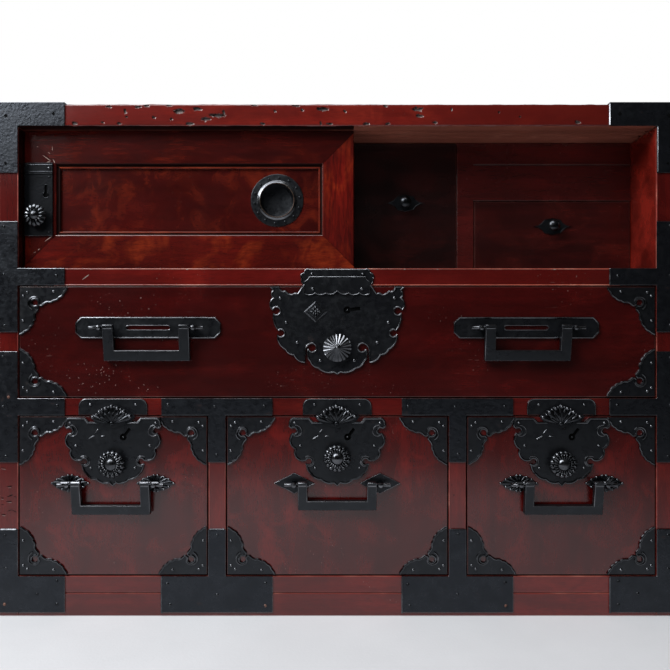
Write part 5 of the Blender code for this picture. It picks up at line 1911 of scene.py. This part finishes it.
@dataclass
class SmallLock(Lock):
    """Lock of a small drawer, with a fan of petals as its crest, scrolls and a sprig of leaves."""

    wing_scale: float = 1.02
    wing_radius: float = 1.4
    curl_radius: float = 0.9
    curls: tuple[tuple[Span, float, Span], ...] = (
        ((53.2, 41.2), 8.4, (80.0, 330.0)), ((36.8, 1.8), 8.0, (55.0, 330.0)),
    )
    strokes: tuple[tuple[Span, Span], ...] = (
        ((-24.5, 38.0), (-18.8, 44.4)), ((-33.0, 31.0), (-23.4, 36.0)), ((-16.2, 35.0), (-10.2, 35.4)),
    )
    fan_root: Span = (-1.0, 49.8)
    petals: tuple[Span, ...] = (
        (157, 29.4), (133, 26.4), (110, 26.0), (90, 27.2), (71, 26.0), (48, 26.2), (25, 29.4),
    )
    short_petal: Span = (3.0, 17.5)
    petal_bead: Span = (2.7, 2.6)
    short_bead: Span = (1.9, 2.2)

    def fan(self, piece: Piece) -> None:
        """Emboss the full petals of the crest, and a shorter row on them.

        Args:
            piece: The lock plate.
        """
        face = CREST_FACE
        root = Vector(placed([self.fan_root], self.middle(), self.z)[0])
        ways = [heading(math.radians(turn)) for turn, _ in self.petals]
        for way, (_, reach) in zip(ways, self.petals):
            tips = (root + way * 5, root + way * reach)
            piece.add(lobe(*tips, (face - 0.4, face), (2.0, 12.4), 3.0, 14), 2)
            piece.heads([root + way * (reach - 3.2)], face - 1.6, self.petal_bead, 1)
        for here, there in zip(ways, ways[1:]):
            way = (here + there).normalized()
            tips = (root + way * reach for reach in self.short_petal)
            piece.add(lobe(*tips, (face - 0.9, face - 1.6), (1.2, 7.0), 1.9), 2)
            piece.heads([root + way * 23.5], face - 0.6, self.short_bead, 1)
        piece.heads([(root.x, root.y + 2)], face, (3.4, 2.4), 2)

    def scrolls(self, piece: Piece) -> None:
        """Raise the wings' rims, the scrolls and three short leaves.

        Args:
            piece: The lock plate.
        """
        x, z = self.middle(), self.z
        for side in SIDES:
            wing = placed(SMALL_WING, x, z, self.wing_scale, (side, 1))
            piece.add(wire(wing, IRON_FACE, self.wing_radius, False), 1)
            for scroll in self.curls:
                path = placed(curl(*scroll), x, z, 1.0, (side, 1))
                piece.add(wire(path, IRON_FACE, self.curl_radius, False), 1)
        for tips in self.strokes:
            piece.add(lobe(*placed(tips, x, z), (IRON_FACE, IRON_FACE), (1.6, 2.6), 1.1), 1)

    def build(self) -> None:
        """Make the lock plate."""
        piece = self.start(BLACK, RUBBED, RELIEF, PIT, CARVED)
        self.fan(piece)
        self.scrolls(piece)
        piece.done(self.drawer, "black_iron", f"{self.drawer}_lock_plate")


@dataclass(frozen=True)
class Row:
    """One ring of petals on a button, as shares of its radius."""

    count: int
    inner: float
    outer: float
    rise: float
    depths: Span
    fullness: float = 0.95


class Head(Enum):
    """Carved face of a push button: rings of petals, size and rise of its dome, its peak and its flutes."""

    SHELL = ((), (0.12, 1.1), 0.5, 20)
    CHRYSANTHEMUM = (
        (Row(16, 0.76, 1.1, 2.6, (3.6, 6.4), 0.9), Row(22, 0.5, 0.82, 1.3, (2.8, 4.0), 0.75)),
        (0.52, 5.0), 3.4, 0,
    )
    SCALLOP = ((Row(14, 0.5, 1.1, 2.0, (3.2, 6.4), 0.9),), (0.5, 5.0), 3.4, 0)


@dataclass
class LockButton:
    """Push button that lifts a lock bolt."""

    owner: str
    head: Head
    head_height: float = 9.0
    neck: float = 6.0
    flute_rise: float = 1.1
    edge_depths: Span = (8.1, 7.5)

    def fluted(self, part: Part, middle: Span, rear: float, radius: float, flutes: int) -> Part:
        """Raise round flutes that widen from the middle of a head to its edge.

        Args:
            part: The turned head.
            middle: Its centre, across and up.
            rear: Depth of the back of the head, which stays plain.
            radius: Radius of the head.
            flutes: Number of flutes.

        Returns:
            The same head.
        """
        for vert in part.verts:
            across, up = vert.co.x - middle[0], vert.co.z - middle[1]
            if vert.co.y < rear - 0.1:
                ridge = abs(math.cos(flutes * math.atan2(up, across) / 2))
                vert.co.y -= self.flute_rise * ridge * math.hypot(across, up) / radius
        return part

    def build(self) -> None:
        """Make the button."""
        name = f"{self.owner}_lock_button"
        low, high = box_of(name)
        x, _, z = middle_of(name)
        radius = (high.x - low.x) / 2
        front, rear = low.y, low.y + self.head_height
        rows, (dome_share, dome_rise), peak, flutes = self.head.value
        edge = self.edge_depths[0 if flutes else 1]
        profile = (
            (0, front + peak, 1), (radius * 0.4, front + peak + 0.44 * (edge - peak), 1),
            (radius * 0.9, front + edge, 1), (radius * 0.98, rear - 0.6, 1), (radius * 0.9, rear),
            (self.neck, rear), (self.neck, high.y - 6), (self.neck * 0.7, high.y), (0, high.y),
        )
        piece = Piece(name + "_dressed", BLACK, RUBBED, CARVED)
        stem = turned(x, z, profile, 8 * flutes or 40)
        if flutes:
            piece.add(self.fluted(stem, (x, z), rear, radius, flutes), 0, 2)
        else:
            piece.add(stem, 0)
        middle = Vector((x, z))
        for row in rows:
            step = math.tau * radius / row.count * row.fullness
            depths = tuple(front + depth for depth in row.depths)
            for k in range(row.count):
                way = heading(math.tau * (k + 0.5) / row.count)
                tips = (middle + way * radius * share for share in (row.inner, row.outer))
                piece.add(lobe(*tips, depths, (step * row.inner, step * row.outer), row.rise, 8), 2)
        centre = dome((x, front + dome_rise, z), radius * dome_share, dome_rise, sides=24)
        piece.add(centre, 1 if flutes else 2)
        piece.done(name, "black_iron", name)


@dataclass
class Bail:
    """Swinging handle of flat iron with rolled ends, which leans back until it almost touches the drawer."""

    solids: Solids
    name: str
    pin: Span
    half_width: float
    arm: float
    roll: float = 4.2
    roll_proud: float = 0.2
    lean: float = 9.0
    bar_reach: float = 0.0
    bar_thick: float = 2.3
    bar_ease: float = 0.3
    bar_tilt: float = -33.0
    bar_place: Span = (-0.62, 0.74)
    bead_share: float = 0.55

    def bar(self, piece: Piece, inner: float, outer: float) -> None:
        """Lay a square pin with a bead on it along the top of a rolled end, with one face turned up.

        Args:
            piece: The bail.
            inner: End of the pin on the inner side of the arm.
            outer: Its other end, beyond the arm.
        """
        half = self.bar_thick / 2
        place = Vector((0, *(pin + self.roll * share for pin, share in zip(self.pin, self.bar_place))))
        part = board((min(inner, outer), max(inner, outer)), (-half, half), (-half, half), self.bar_ease)
        part.transform(Matrix.Translation(place) @ Matrix.Rotation(math.radians(self.bar_tilt), 4, "X"))
        piece.add(part, 1)
        place.x = inner + self.bead_share * (outer - inner)
        bead = bmesh.new()
        bmesh.ops.create_icosphere(bead, subdivisions=2, radius=1.1 * self.bar_thick)
        bmesh.ops.translate(bead, vec=place, verts=bead.verts[:])
        piece.add(bead, 1)

    def build(self) -> None:
        """Lean a copy of the solid about its pins, with its edges rubbed bright, and roll its ends."""
        part = bmesh.new()
        part.from_mesh(self.solids.nodes[self.name].data)
        part.transform(Matrix.Scale(1 / MM, 4))
        settle(part)
        flat = self.solids.flat_angle
        bmesh.ops.dissolve_limit(part, angle_limit=flat, verts=part.verts[:], edges=part.edges[:])
        for face in part.faces:
            face.material_index = 1 if max(abs(share) for share in face.normal) < 0.98 else 0
        turn = Matrix.Rotation(math.radians(self.lean), 3, "X")
        bmesh.ops.rotate(part, cent=(0, *self.pin), matrix=turn, verts=part.verts[:])
        piece = Piece(self.name + "_leaning", BLACK, RUBBED)
        piece.add(part, 0, 1)
        middle = middle_of(self.name).x
        outer = self.half_width + self.roll_proud
        inner = self.half_width - self.arm - self.roll_proud
        for side in SIDES:
            ends = [middle + side * reach for reach in (inner, outer)]
            piece.add(stick(*((x, *self.pin) for x in ends), self.roll, 20), 1)
            if self.bar_reach:
                self.bar(piece, ends[0], ends[1] + side * self.bar_reach)
        piece.done(self.name, "black_iron", self.name)


def scattered(patches: Sequence[tuple], seed: int = 31) -> list[tuple]:
    """Scatter small specks over patches of a face, thickest near the middle of each.

    Args:
        patches: Middle, half width and height, and number of specks of each.
        seed: Start of the chance.

    Returns:
        Each speck's two ends and its width.
    """
    chance = random.Random(seed)
    specks = []
    for (x, z), (half_width, half_height), count in patches:
        for _ in range(count):
            start = Vector((x + chance.gauss(0, half_width / 2), z + chance.gauss(0, half_height / 2)))
            turn, size = chance.uniform(0, math.tau), chance.uniform(0.5, 1.3)
            specks.append((start, start + 1.6 * size * heading(turn), size))
    return specks


@dataclass
class Scratches:
    """Slivers where the lacquer was scratched or worn through, each with its two ends and its width."""

    piece_name: str
    body: str
    face: float
    lines: Sequence[tuple]
    finish: Lacquer = SCRATCHED
    taper: float = 0.5
    rise: float = 0.14

    def build(self) -> None:
        """Lay the slivers on their face."""
        piece = Piece(self.piece_name, self.finish)
        for start, end, width in self.lines:
            piece.add(lobe(start, end, (self.face, self.face), (width * self.taper, width), self.rise, 6), 0)
        piece.done(self.body, "red_lacquer")


# Doors and inner drawers


CUP_PROFILE = (
    (0, 8.6), (13, 8.5), (19.0, 7.6), (21.2, 4.2), (21.8, 0.6), (22.2, -2.2, 2), (22.9, -3.2, 1),
    (24.2, -3.0, 1), (25.6, -2.0, 1), (26.8, -1.2), (33.6, -1.2), (34.8, -0.9, 1), (35.5, 0.2),
    (35.5, 0.6), (24.2, 0.6), (23.6, 5.0), (20.4, 8.6), (13, 9.7), (0, 9.8),
)
CUP_BEADS = 14
CUP_BEAD_RING = 30.4
CUP_HOLE = 23.4
KNOB_PROFILE = (
    (0, 0), (5.2, 0), (4.2, 2.4), (3.8, 5), (4.4, 8), (7.0, 9.4), (8.0, 11.4), (7.4, 13.6, 1), (5.2, 15.2, 1),
    (2.4, 15.9, 1), (0, 16),
)


def cup(piece: Piece, x: float, z: float, panel: float) -> None:
    """Turn a round finger cup with a polished mouth, and set the beads round its rim.

    Args:
        piece: The cup's piece, with the finishes of the skin, the rubbed edges and the mouth.
        x: Middle of the cup.
        z: Height of its middle.
        panel: Depth of the panel that it is let into.
    """
    profile = [(radius, panel + depth, *kind) for radius, depth, *kind in CUP_PROFILE]
    piece.add(turned(x, z, profile, 64), 0, 1, 2)
    for k in range(CUP_BEADS):
        turn = math.tau * (k + 0.3) / CUP_BEADS
        place = (x + CUP_BEAD_RING * math.cos(turn), panel - 1.4, z + CUP_BEAD_RING * math.sin(turn))
        piece.add(dome(place, 1.6, 1.3, sides=10), 0)


@dataclass
class SlidingDoor:
    """Framed door with mitred corners, a moulded inner edge, a panel and a finger cup."""

    solids: Solids
    name: str
    face: float
    x: Span = (-414.0, 22.0)
    z: Span = (453.0, 636.0)
    thick: float = 20.0
    stile: float = 42.0
    rail: float = 45.0
    tongue: Span = (5.0, 15.0)
    tongue_z: Span = (449.3, 641.0)
    panel_back: float = 6.0
    cup_place: Span = (-80.0, 544.5)
    panel_thick: float = 6.0
    mitre_gap: float = 0.22
    bead: float = 5.6

    def member(self, length: float, width: float, next_width: float) -> Part:
        """Shape one side of the frame, lying along X with its outer edge at the bottom.

        Args:
            length: Outer length.
            width: Width of this member.
            next_width: Width of the members that meet it, both up to the arris.

        Returns:
            The member: its face is kind 0, its arris 1 (rubbed pale where it meets the light, painted shade
                where it faces away), its bead 2 and the groove 3.
        """
        w = width + self.bead
        profile = (
            (0, 0.9), (0.9, 0), (w - 7.0, 0), (w - 6.4, 0.25), (w - 5.9, 0.8), (w - 5.6, 1.6), (w - 5.4, 3.6),
            (w - 3.5, 4.0), (w - 3.1, 3.0), (w - 2.4, 2.4), (w - 1.6, 2.5), (w - 1.0, 3.2), (w - 0.6, 4.8),
            (w, self.thick), (0, self.thick),
        )
        part = bmesh.new()
        start = part.faces.new([part.verts.new((0, y, u)) for u, y in profile])
        grown = bmesh.ops.extrude_face_region(part, geom=[start])
        bmesh.ops.translate(part, vec=(length, 0, 0), verts=moved(grown))
        for face in part.faces:
            u, y = face.calc_center_median().z, face.calc_center_median().y
            if y < self.thick / 3 and abs(face.normal.x) < 0.5:
                face.material_index = 0 if u < w - 7.0 else 1 if u < w - 5.55 else 3 if u < w - 3.45 else 2
        for end, way in ((0.0, 1.0), (length, -1.0)):
            whole = part.verts[:] + part.edges[:] + part.faces[:]
            corner = (end + way * (next_width + self.mitre_gap), 0, width)
            cut = bmesh.ops.bisect_plane(
                part, geom=whole, dist=MERGE, plane_co=corner, plane_no=(way, 0, -1), clear_inner=True
            )
            edges = [item for item in cut["geom_cut"] if isinstance(item, bmesh.types.BMEdge)]
            bmesh.ops.edgeloop_fill(part, edges=edges)
        return settle(part)

    def frame(self) -> None:
        """Join the four members and the tongues that run in the grooves."""
        (left, right), (low, high) = self.x, self.z
        finishes = (DOOR_SHADED_X, DOOR_Z, DOOR_ARRIS, DOOR_BEAD, PAINTED_SHADE, DOOR_LIT_LOW, DOOR_SHADED_STILE)
        piece = Piece(f"{self.name}_frame_moulded", *finishes)
        # Slots paint light and shade by side: the top rail and the left stile face away from the light and
        # take the darker copies; the top rail's arris and the left stile's bead take painted shade; the low
        # rail takes the lighter copy
        for z, up, slots in ((low, 1, (5, 2, 3, 4)), (high, -1, (0, 4, 3, 4))):
            rail = self.member(right - left, self.rail, self.stile)
            rail.transform(Matrix.Translation((left, self.face, z)) @ Matrix.Diagonal((1, 1, up, 1)))
            piece.add(settle(rail), *slots)
        for x, across, slots in ((left, 1, (6, 0, 4, 4)), (right, -1, (1, 2, 3, 4))):
            stile = self.member(high - low, self.stile, self.rail)
            turn = Matrix(((0, 0, across, x), (0, 1, 0, self.face), (1, 0, 0, low), (0, 0, 0, 1)))
            stile.transform(turn)
            settle(stile)
            if self.name == "front_door" and across > 0:
                stile = self.lock_room(stile)
            piece.add(stile, *slots)
        depth = (self.face + self.tongue[0], self.face + self.tongue[1])
        for z in ((self.tongue_z[0], low + 0.5), (high - 0.5, self.tongue_z[1])):
            piece.add(board((left, right), depth, z), 0)
        piece.done(self.name, "figured_lacquer", f"{self.name}_frame")

    def lock_room(self, stile: Part) -> Part:
        """Cut the room for the bolt and button out of the lock stile.

        Args:
            stile: The stile, which is used up.

        Returns:
            What is left of it.
        """
        low, high = box_of(f"{self.name}_lock_bolt")
        y, z = ((a - CLEARANCE, b + CLEARANCE) for a, b in zip(low[1:], high[1:]))
        room = board((low.x - OVERCUT, high.x + 1), y, z)
        return carved(stile, room, button_well(self.name, self.face))

    def panel(self) -> None:
        """Set the panel and its finger cup."""
        face = self.face + self.panel_back
        cup_piece = Piece(f"{self.name}_cup_turned", BLACK, RUBBED, COPPERY)
        cup(cup_piece, *self.cup_place, face)
        if self.name == "front_door":
            self.solids.dress("front_door_panel", DOOR_PANEL, DOOR_PANEL, 0.2)
            cup_piece.done(self.name, "black_iron", "front_door_cup_pull")
            return
        low, high = box_of("rear_door_panel")
        ends = (face - OVERCUT, face + 15)
        profile = ((0, ends[0]), (CUP_HOLE, ends[0]), (CUP_HOLE, ends[1]), (0, ends[1]))
        back = board((low.x, high.x), (face, face + self.panel_thick), (low.z, high.z))
        piece = Piece("rear_door_panel_board", DOOR_PANEL)
        piece.add(carved(back, turned(*self.cup_place, profile)), 0)
        piece.done(self.name, "figured_lacquer", "rear_door_panel")
        cup_piece.done(self.name, "black_iron")

    def build(self) -> None:
        """Make the door."""
        self.frame()
        self.panel()


@dataclass
class DoorLock:
    """Lock plate at the edge of the front door, with a moulded head and a keyhole."""

    thick: float = 1.5
    band: float = 14.0
    band_inset: float = 0.7
    key: tuple[Span, Span] = ((-385.0, 550.5), (-385.0, 564.0))
    key_size: Span = (4.0, 3.2)
    pit: tuple[float, float, float] = (-385.0, 555.5, 8.5)
    rivet_inset: float = 4.5
    rivet: Span = (1.6, 1.2)
    band_rivet: Span = (2.2, 1.9)

    def build(self) -> None:
        """Make the lock plate."""
        low, high = box_of("front_door_lock_plate")
        piece = Piece("front_door_lock_plate_dressed", OLD_SHADED_PLATE, RUBBED, RELIEF, PIT)
        face, front, foot = high.y - self.thick, low.y + self.band_inset, high.z - self.band
        whole, band = ([(low.x, z), (high.x, z), (high.x, high.z), (low.x, high.z)] for z in (low.z, foot))
        piece.add(plate(whole, face, self.thick, 0.5, [keyhole(*self.key, *self.key_size)]), 0, 2)
        # Dark disc behind the keyhole: painted shade inside the lock
        piece.add(plate(ring(*self.pit), high.y - 0.05, 0.2, 0.05), 3)
        piece.add(plate(band, front, 1.0, 0.4), 0, 2)
        for z, radius in ((foot + 2.5, 1.0), (high.z - 2.5, 1.3)):
            piece.add(stick((low.x, front + 0.6, z), (high.x, front + 0.6, z), radius), 2)
        x, inset = high.x - self.rivet_inset, self.rivet_inset
        piece.heads([(x, foot + self.band / 2)], front, self.band_rivet, 1)
        piece.heads([(x, low.z + inset), (x, foot - inset)], face, self.rivet, 2)
        piece.done("front_door", "black_iron", "front_door_lock_plate")


@dataclass
class InnerDrawer:
    """Small drawer behind the doors, with a turned knob on a diamond plate."""

    name: str
    face: float = -128.75
    thick: float = 15.0
    ease: float = 0.8
    wall: float = 8.0
    floor: float = 6.0
    seam: float = 0.9
    drop: float = 24.0
    knob_lift: float = 7.0
    finish: Lacquer = TALL_RED
    plate_half: Span = (27.0, 11.5)

    def tray(self, x: Span, y: Span, z: Span) -> Part:
        """Join the open tray behind the front.

        Args:
            x: Span across.
            y: Span in depth.
            z: Span in height.

        Returns:
            The tray.
        """
        part = board(x, y, z)
        top = [face for face in part.faces if face.normal.z > 0.9]
        bmesh.ops.inset_region(part, faces=top, thickness=self.wall, use_even_offset=True, use_boundary=True)
        grown = bmesh.ops.extrude_face_region(part, geom=top)
        bmesh.ops.delete(part, geom=[face for face in top if face.is_valid], context="FACES_ONLY")
        drop = self.floor - (z[1] - z[0])
        bmesh.ops.translate(part, vec=(0, 0, drop), verts=moved(grown))
        return settle(part)

    def build(self) -> None:
        """Make the drawer and its knob."""
        low, high = box_of(self.name)
        rear = self.face + self.thick
        piece = Piece(f"{self.name}_dressed", self.finish, WORN_DRAWER, BARE_Y)
        front = board((low.x, high.x), (self.face, rear), (low.z + self.seam, high.z), self.ease)
        piece.add(front, 0, 1)
        tray = self.tray((low.x + 0.5, high.x - 0.5), (rear - 0.5, high.y), (low.z, high.z - self.drop))
        piece.add(tray, 2)
        piece.done(self.name, "red_lacquer", self.name)
        x, z = (low.x + high.x) / 2, (low.z + self.seam + high.z) / 2 + self.knob_lift
        w, h = self.plate_half
        knob = Piece(f"{self.name}_knob", BLACK, RELIEF)
        half = ((0, h), (w * 0.42, h * 0.78, -0.3), (w, 0, -0.3), (w * 0.42, -h * 0.78), (0, -h))
        knob.add(plate(placed(both_sides(half), x, z), self.face - 1.2, 1.3, 0.4), 0, 1)
        profile = [(radius, self.face - depth, *kind) for radius, depth, *kind in KNOB_PROFILE]
        knob.add(turned(x, z, profile, 28), 0, 1)
        knob.done(self.name, "black_iron")


# Wear marks and the whole chest


DOOR_FACES = {"front_door": -190.75, "rear_door": -168.75}
PIN_LINE = -218.75
SMALL_BAIL = (50.5, 12.0)
LARGE_BAIL = (55.5, 13.5)
LEAF_BAR_REACH = 12.0
TRAY_EASE = 0.8
BOLT_EASE = 0.3
DOOR_SCRATCHES = (
    ((-387.4, 488.9), (-377.4, 496.2), 1.4), ((-396.4, 477.4), (-393.8, 479.6), 1.2),
    ((-402.0, 473.2), (-398.6, 475.8), 0.6), ((-390.7, 603.9), (-379.2, 595.8), 0.8),
    ((-377.2, 616.0), (-376.8, 609.4), 0.8), ((-397.6, 615.2), (-395.8, 614.0), 1.0),
    ((-382.6, 607.4), (-380.0, 605.0), 0.7), ((-384.6, 594.0), (-380.0, 594.9), 1.2),
    ((-376.0, 597.6), (-373.8, 592.9), 1.3),
)
SILL_SCRATCHES = (((-331.8, 437.0), (-322.6, 444.0), 1.7),)
# Dark slivers of painted shade in dents on the posts, and pale slivers of painted highlight on their lower
# lips
POST_DENT_SHADES = (
    ((-430.0, 168.2), (-422.8, 168.8), 2.0), ((-429.5, 154.8), (-421.8, 157.6), 2.2),
    ((-420.5, 155.0), (-417.2, 154.6), 1.6), ((-438.0, 154.2), (-433.2, 152.8), 1.6),
    ((-431.0, 148.8), (-423.2, 149.0), 1.8), ((-438.0, 144.9), (-433.2, 144.5), 0.9),
    ((-429.2, 135.6), (-424.0, 138.2), 1.4), ((-424.0, 138.2), (-417.0, 134.8), 1.2),
    ((-438.0, 132.4), (-431.0, 131.6), 1.6), ((-438.0, 193.0), (-431.0, 192.0), 1.0),
    ((150.5, 157.2), (152.8, 157.0), 1.8), ((147.9, 171.2), (149.4, 169.6), 1.3),
)
POST_DENT_HIGHLIGHTS = (
    ((-428.8, 166.5), (-424.0, 166.7), 1.0), ((-437.6, 151.8), (-434.0, 151.3), 1.1),
    ((-429.0, 147.3), (-423.4, 147.2), 1.2), ((-436.4, 130.5), (-431.0, 130.1), 1.3),
    ((-437.6, 191.3), (-430.6, 190.3), 1.2),
)
LARGE_SPECKS = (
    ((-311.0, 312.0), (46.0, 24.0), 44), ((-258.0, 396.0), (40.0, 22.0), 12),
    ((-247.0, 296.0), (16.0, 9.0), 5),
)


def build_drawers(solids: Solids) -> None:
    """Build the four outer drawers with their locks and handles.

    Args:
        solids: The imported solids.
    """
    rosettes = (None, Rosette.LEAF, Rosette.DIAMOND, Rosette.LEAF)
    for name, rosette in zip(("large_drawer", "left_drawer", "middle_drawer", "right_drawer"), rosettes):
        DrawerFront(name, rosette).build()
        solids.dress(f"{name}_tray", BARE_Y, BARE_Y, TRAY_EASE)
        solids.dress(f"{name}_lock_bolt", BOLT, BOLT, BOLT_EASE)
        LockButton(name, Head.CHRYSANTHEMUM if rosette else Head.SHELL).build()
        if rosette:
            SmallLock(name).build()
            reach = LEAF_BAR_REACH if rosette is Rosette.LEAF else 0.0
            pin = (PIN_LINE, DrawerFront.pin_height)
            Bail(solids, f"{name}_bail", pin, *SMALL_BAIL, bar_reach=reach).build()
    LargeLock().build()
    for side in ("left", "right"):
        HandlePlate(side).build()
        Bail(solids, f"large_drawer_bail_{side}", (PIN_LINE, HandlePlate.height), *LARGE_BAIL).build()
    specks = scattered(LARGE_SPECKS)
    Scratches("large_drawer_specks", "large_drawer", FRONT, specks, SPECKLED, 0.7, 0.12).build()


def build_bay(solids: Solids) -> None:
    """Build the two doors and what stands behind them.

    Args:
        solids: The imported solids.
    """
    for name, face in DOOR_FACES.items():
        SlidingDoor(solids, name, face).build()
    DoorLock().build()
    LockButton("front_door", Head.SCALLOP).build()
    solids.dress("front_door_lock_bolt", BOLT, BOLT, BOLT_EASE)
    Scratches("door_scratches", "front_door", DOOR_FACES["front_door"], DOOR_SCRATCHES).build()
    solids.dress("inner_carcass", CARCASS_RED, WORN_DRAWER, TRAY_EASE)
    InnerDrawer("inner_tall_drawer").build()
    InnerDrawer("inner_low_drawer", knob_lift=15.0, finish=INNER_RED).build()


def main() -> None:
    """Build the stage and every part of the chest."""
    logging.basicConfig(level=logging.INFO, format="%(message)s")
    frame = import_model()
    solids = Solids(frame["nodes"])
    Stage().build()
    CaseBoards(solids).build()
    CaseIrons(solids).build()
    Scratches("sill_scratches", "case", FRONT, SILL_SCRATCHES).build()
    # Painted shade in the post dents, and painted highlight on their lips
    Scratches("post_dent_shades", "case", FRONT, POST_DENT_SHADES, PAINTED_SHADE).build()
    Scratches("post_dent_highlights", "case", FRONT, POST_DENT_HIGHLIGHTS, SPECKLED).build()
    build_drawers(solids)
    build_bay(solids)
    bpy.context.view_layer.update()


if __name__ == "__main__":
    main()
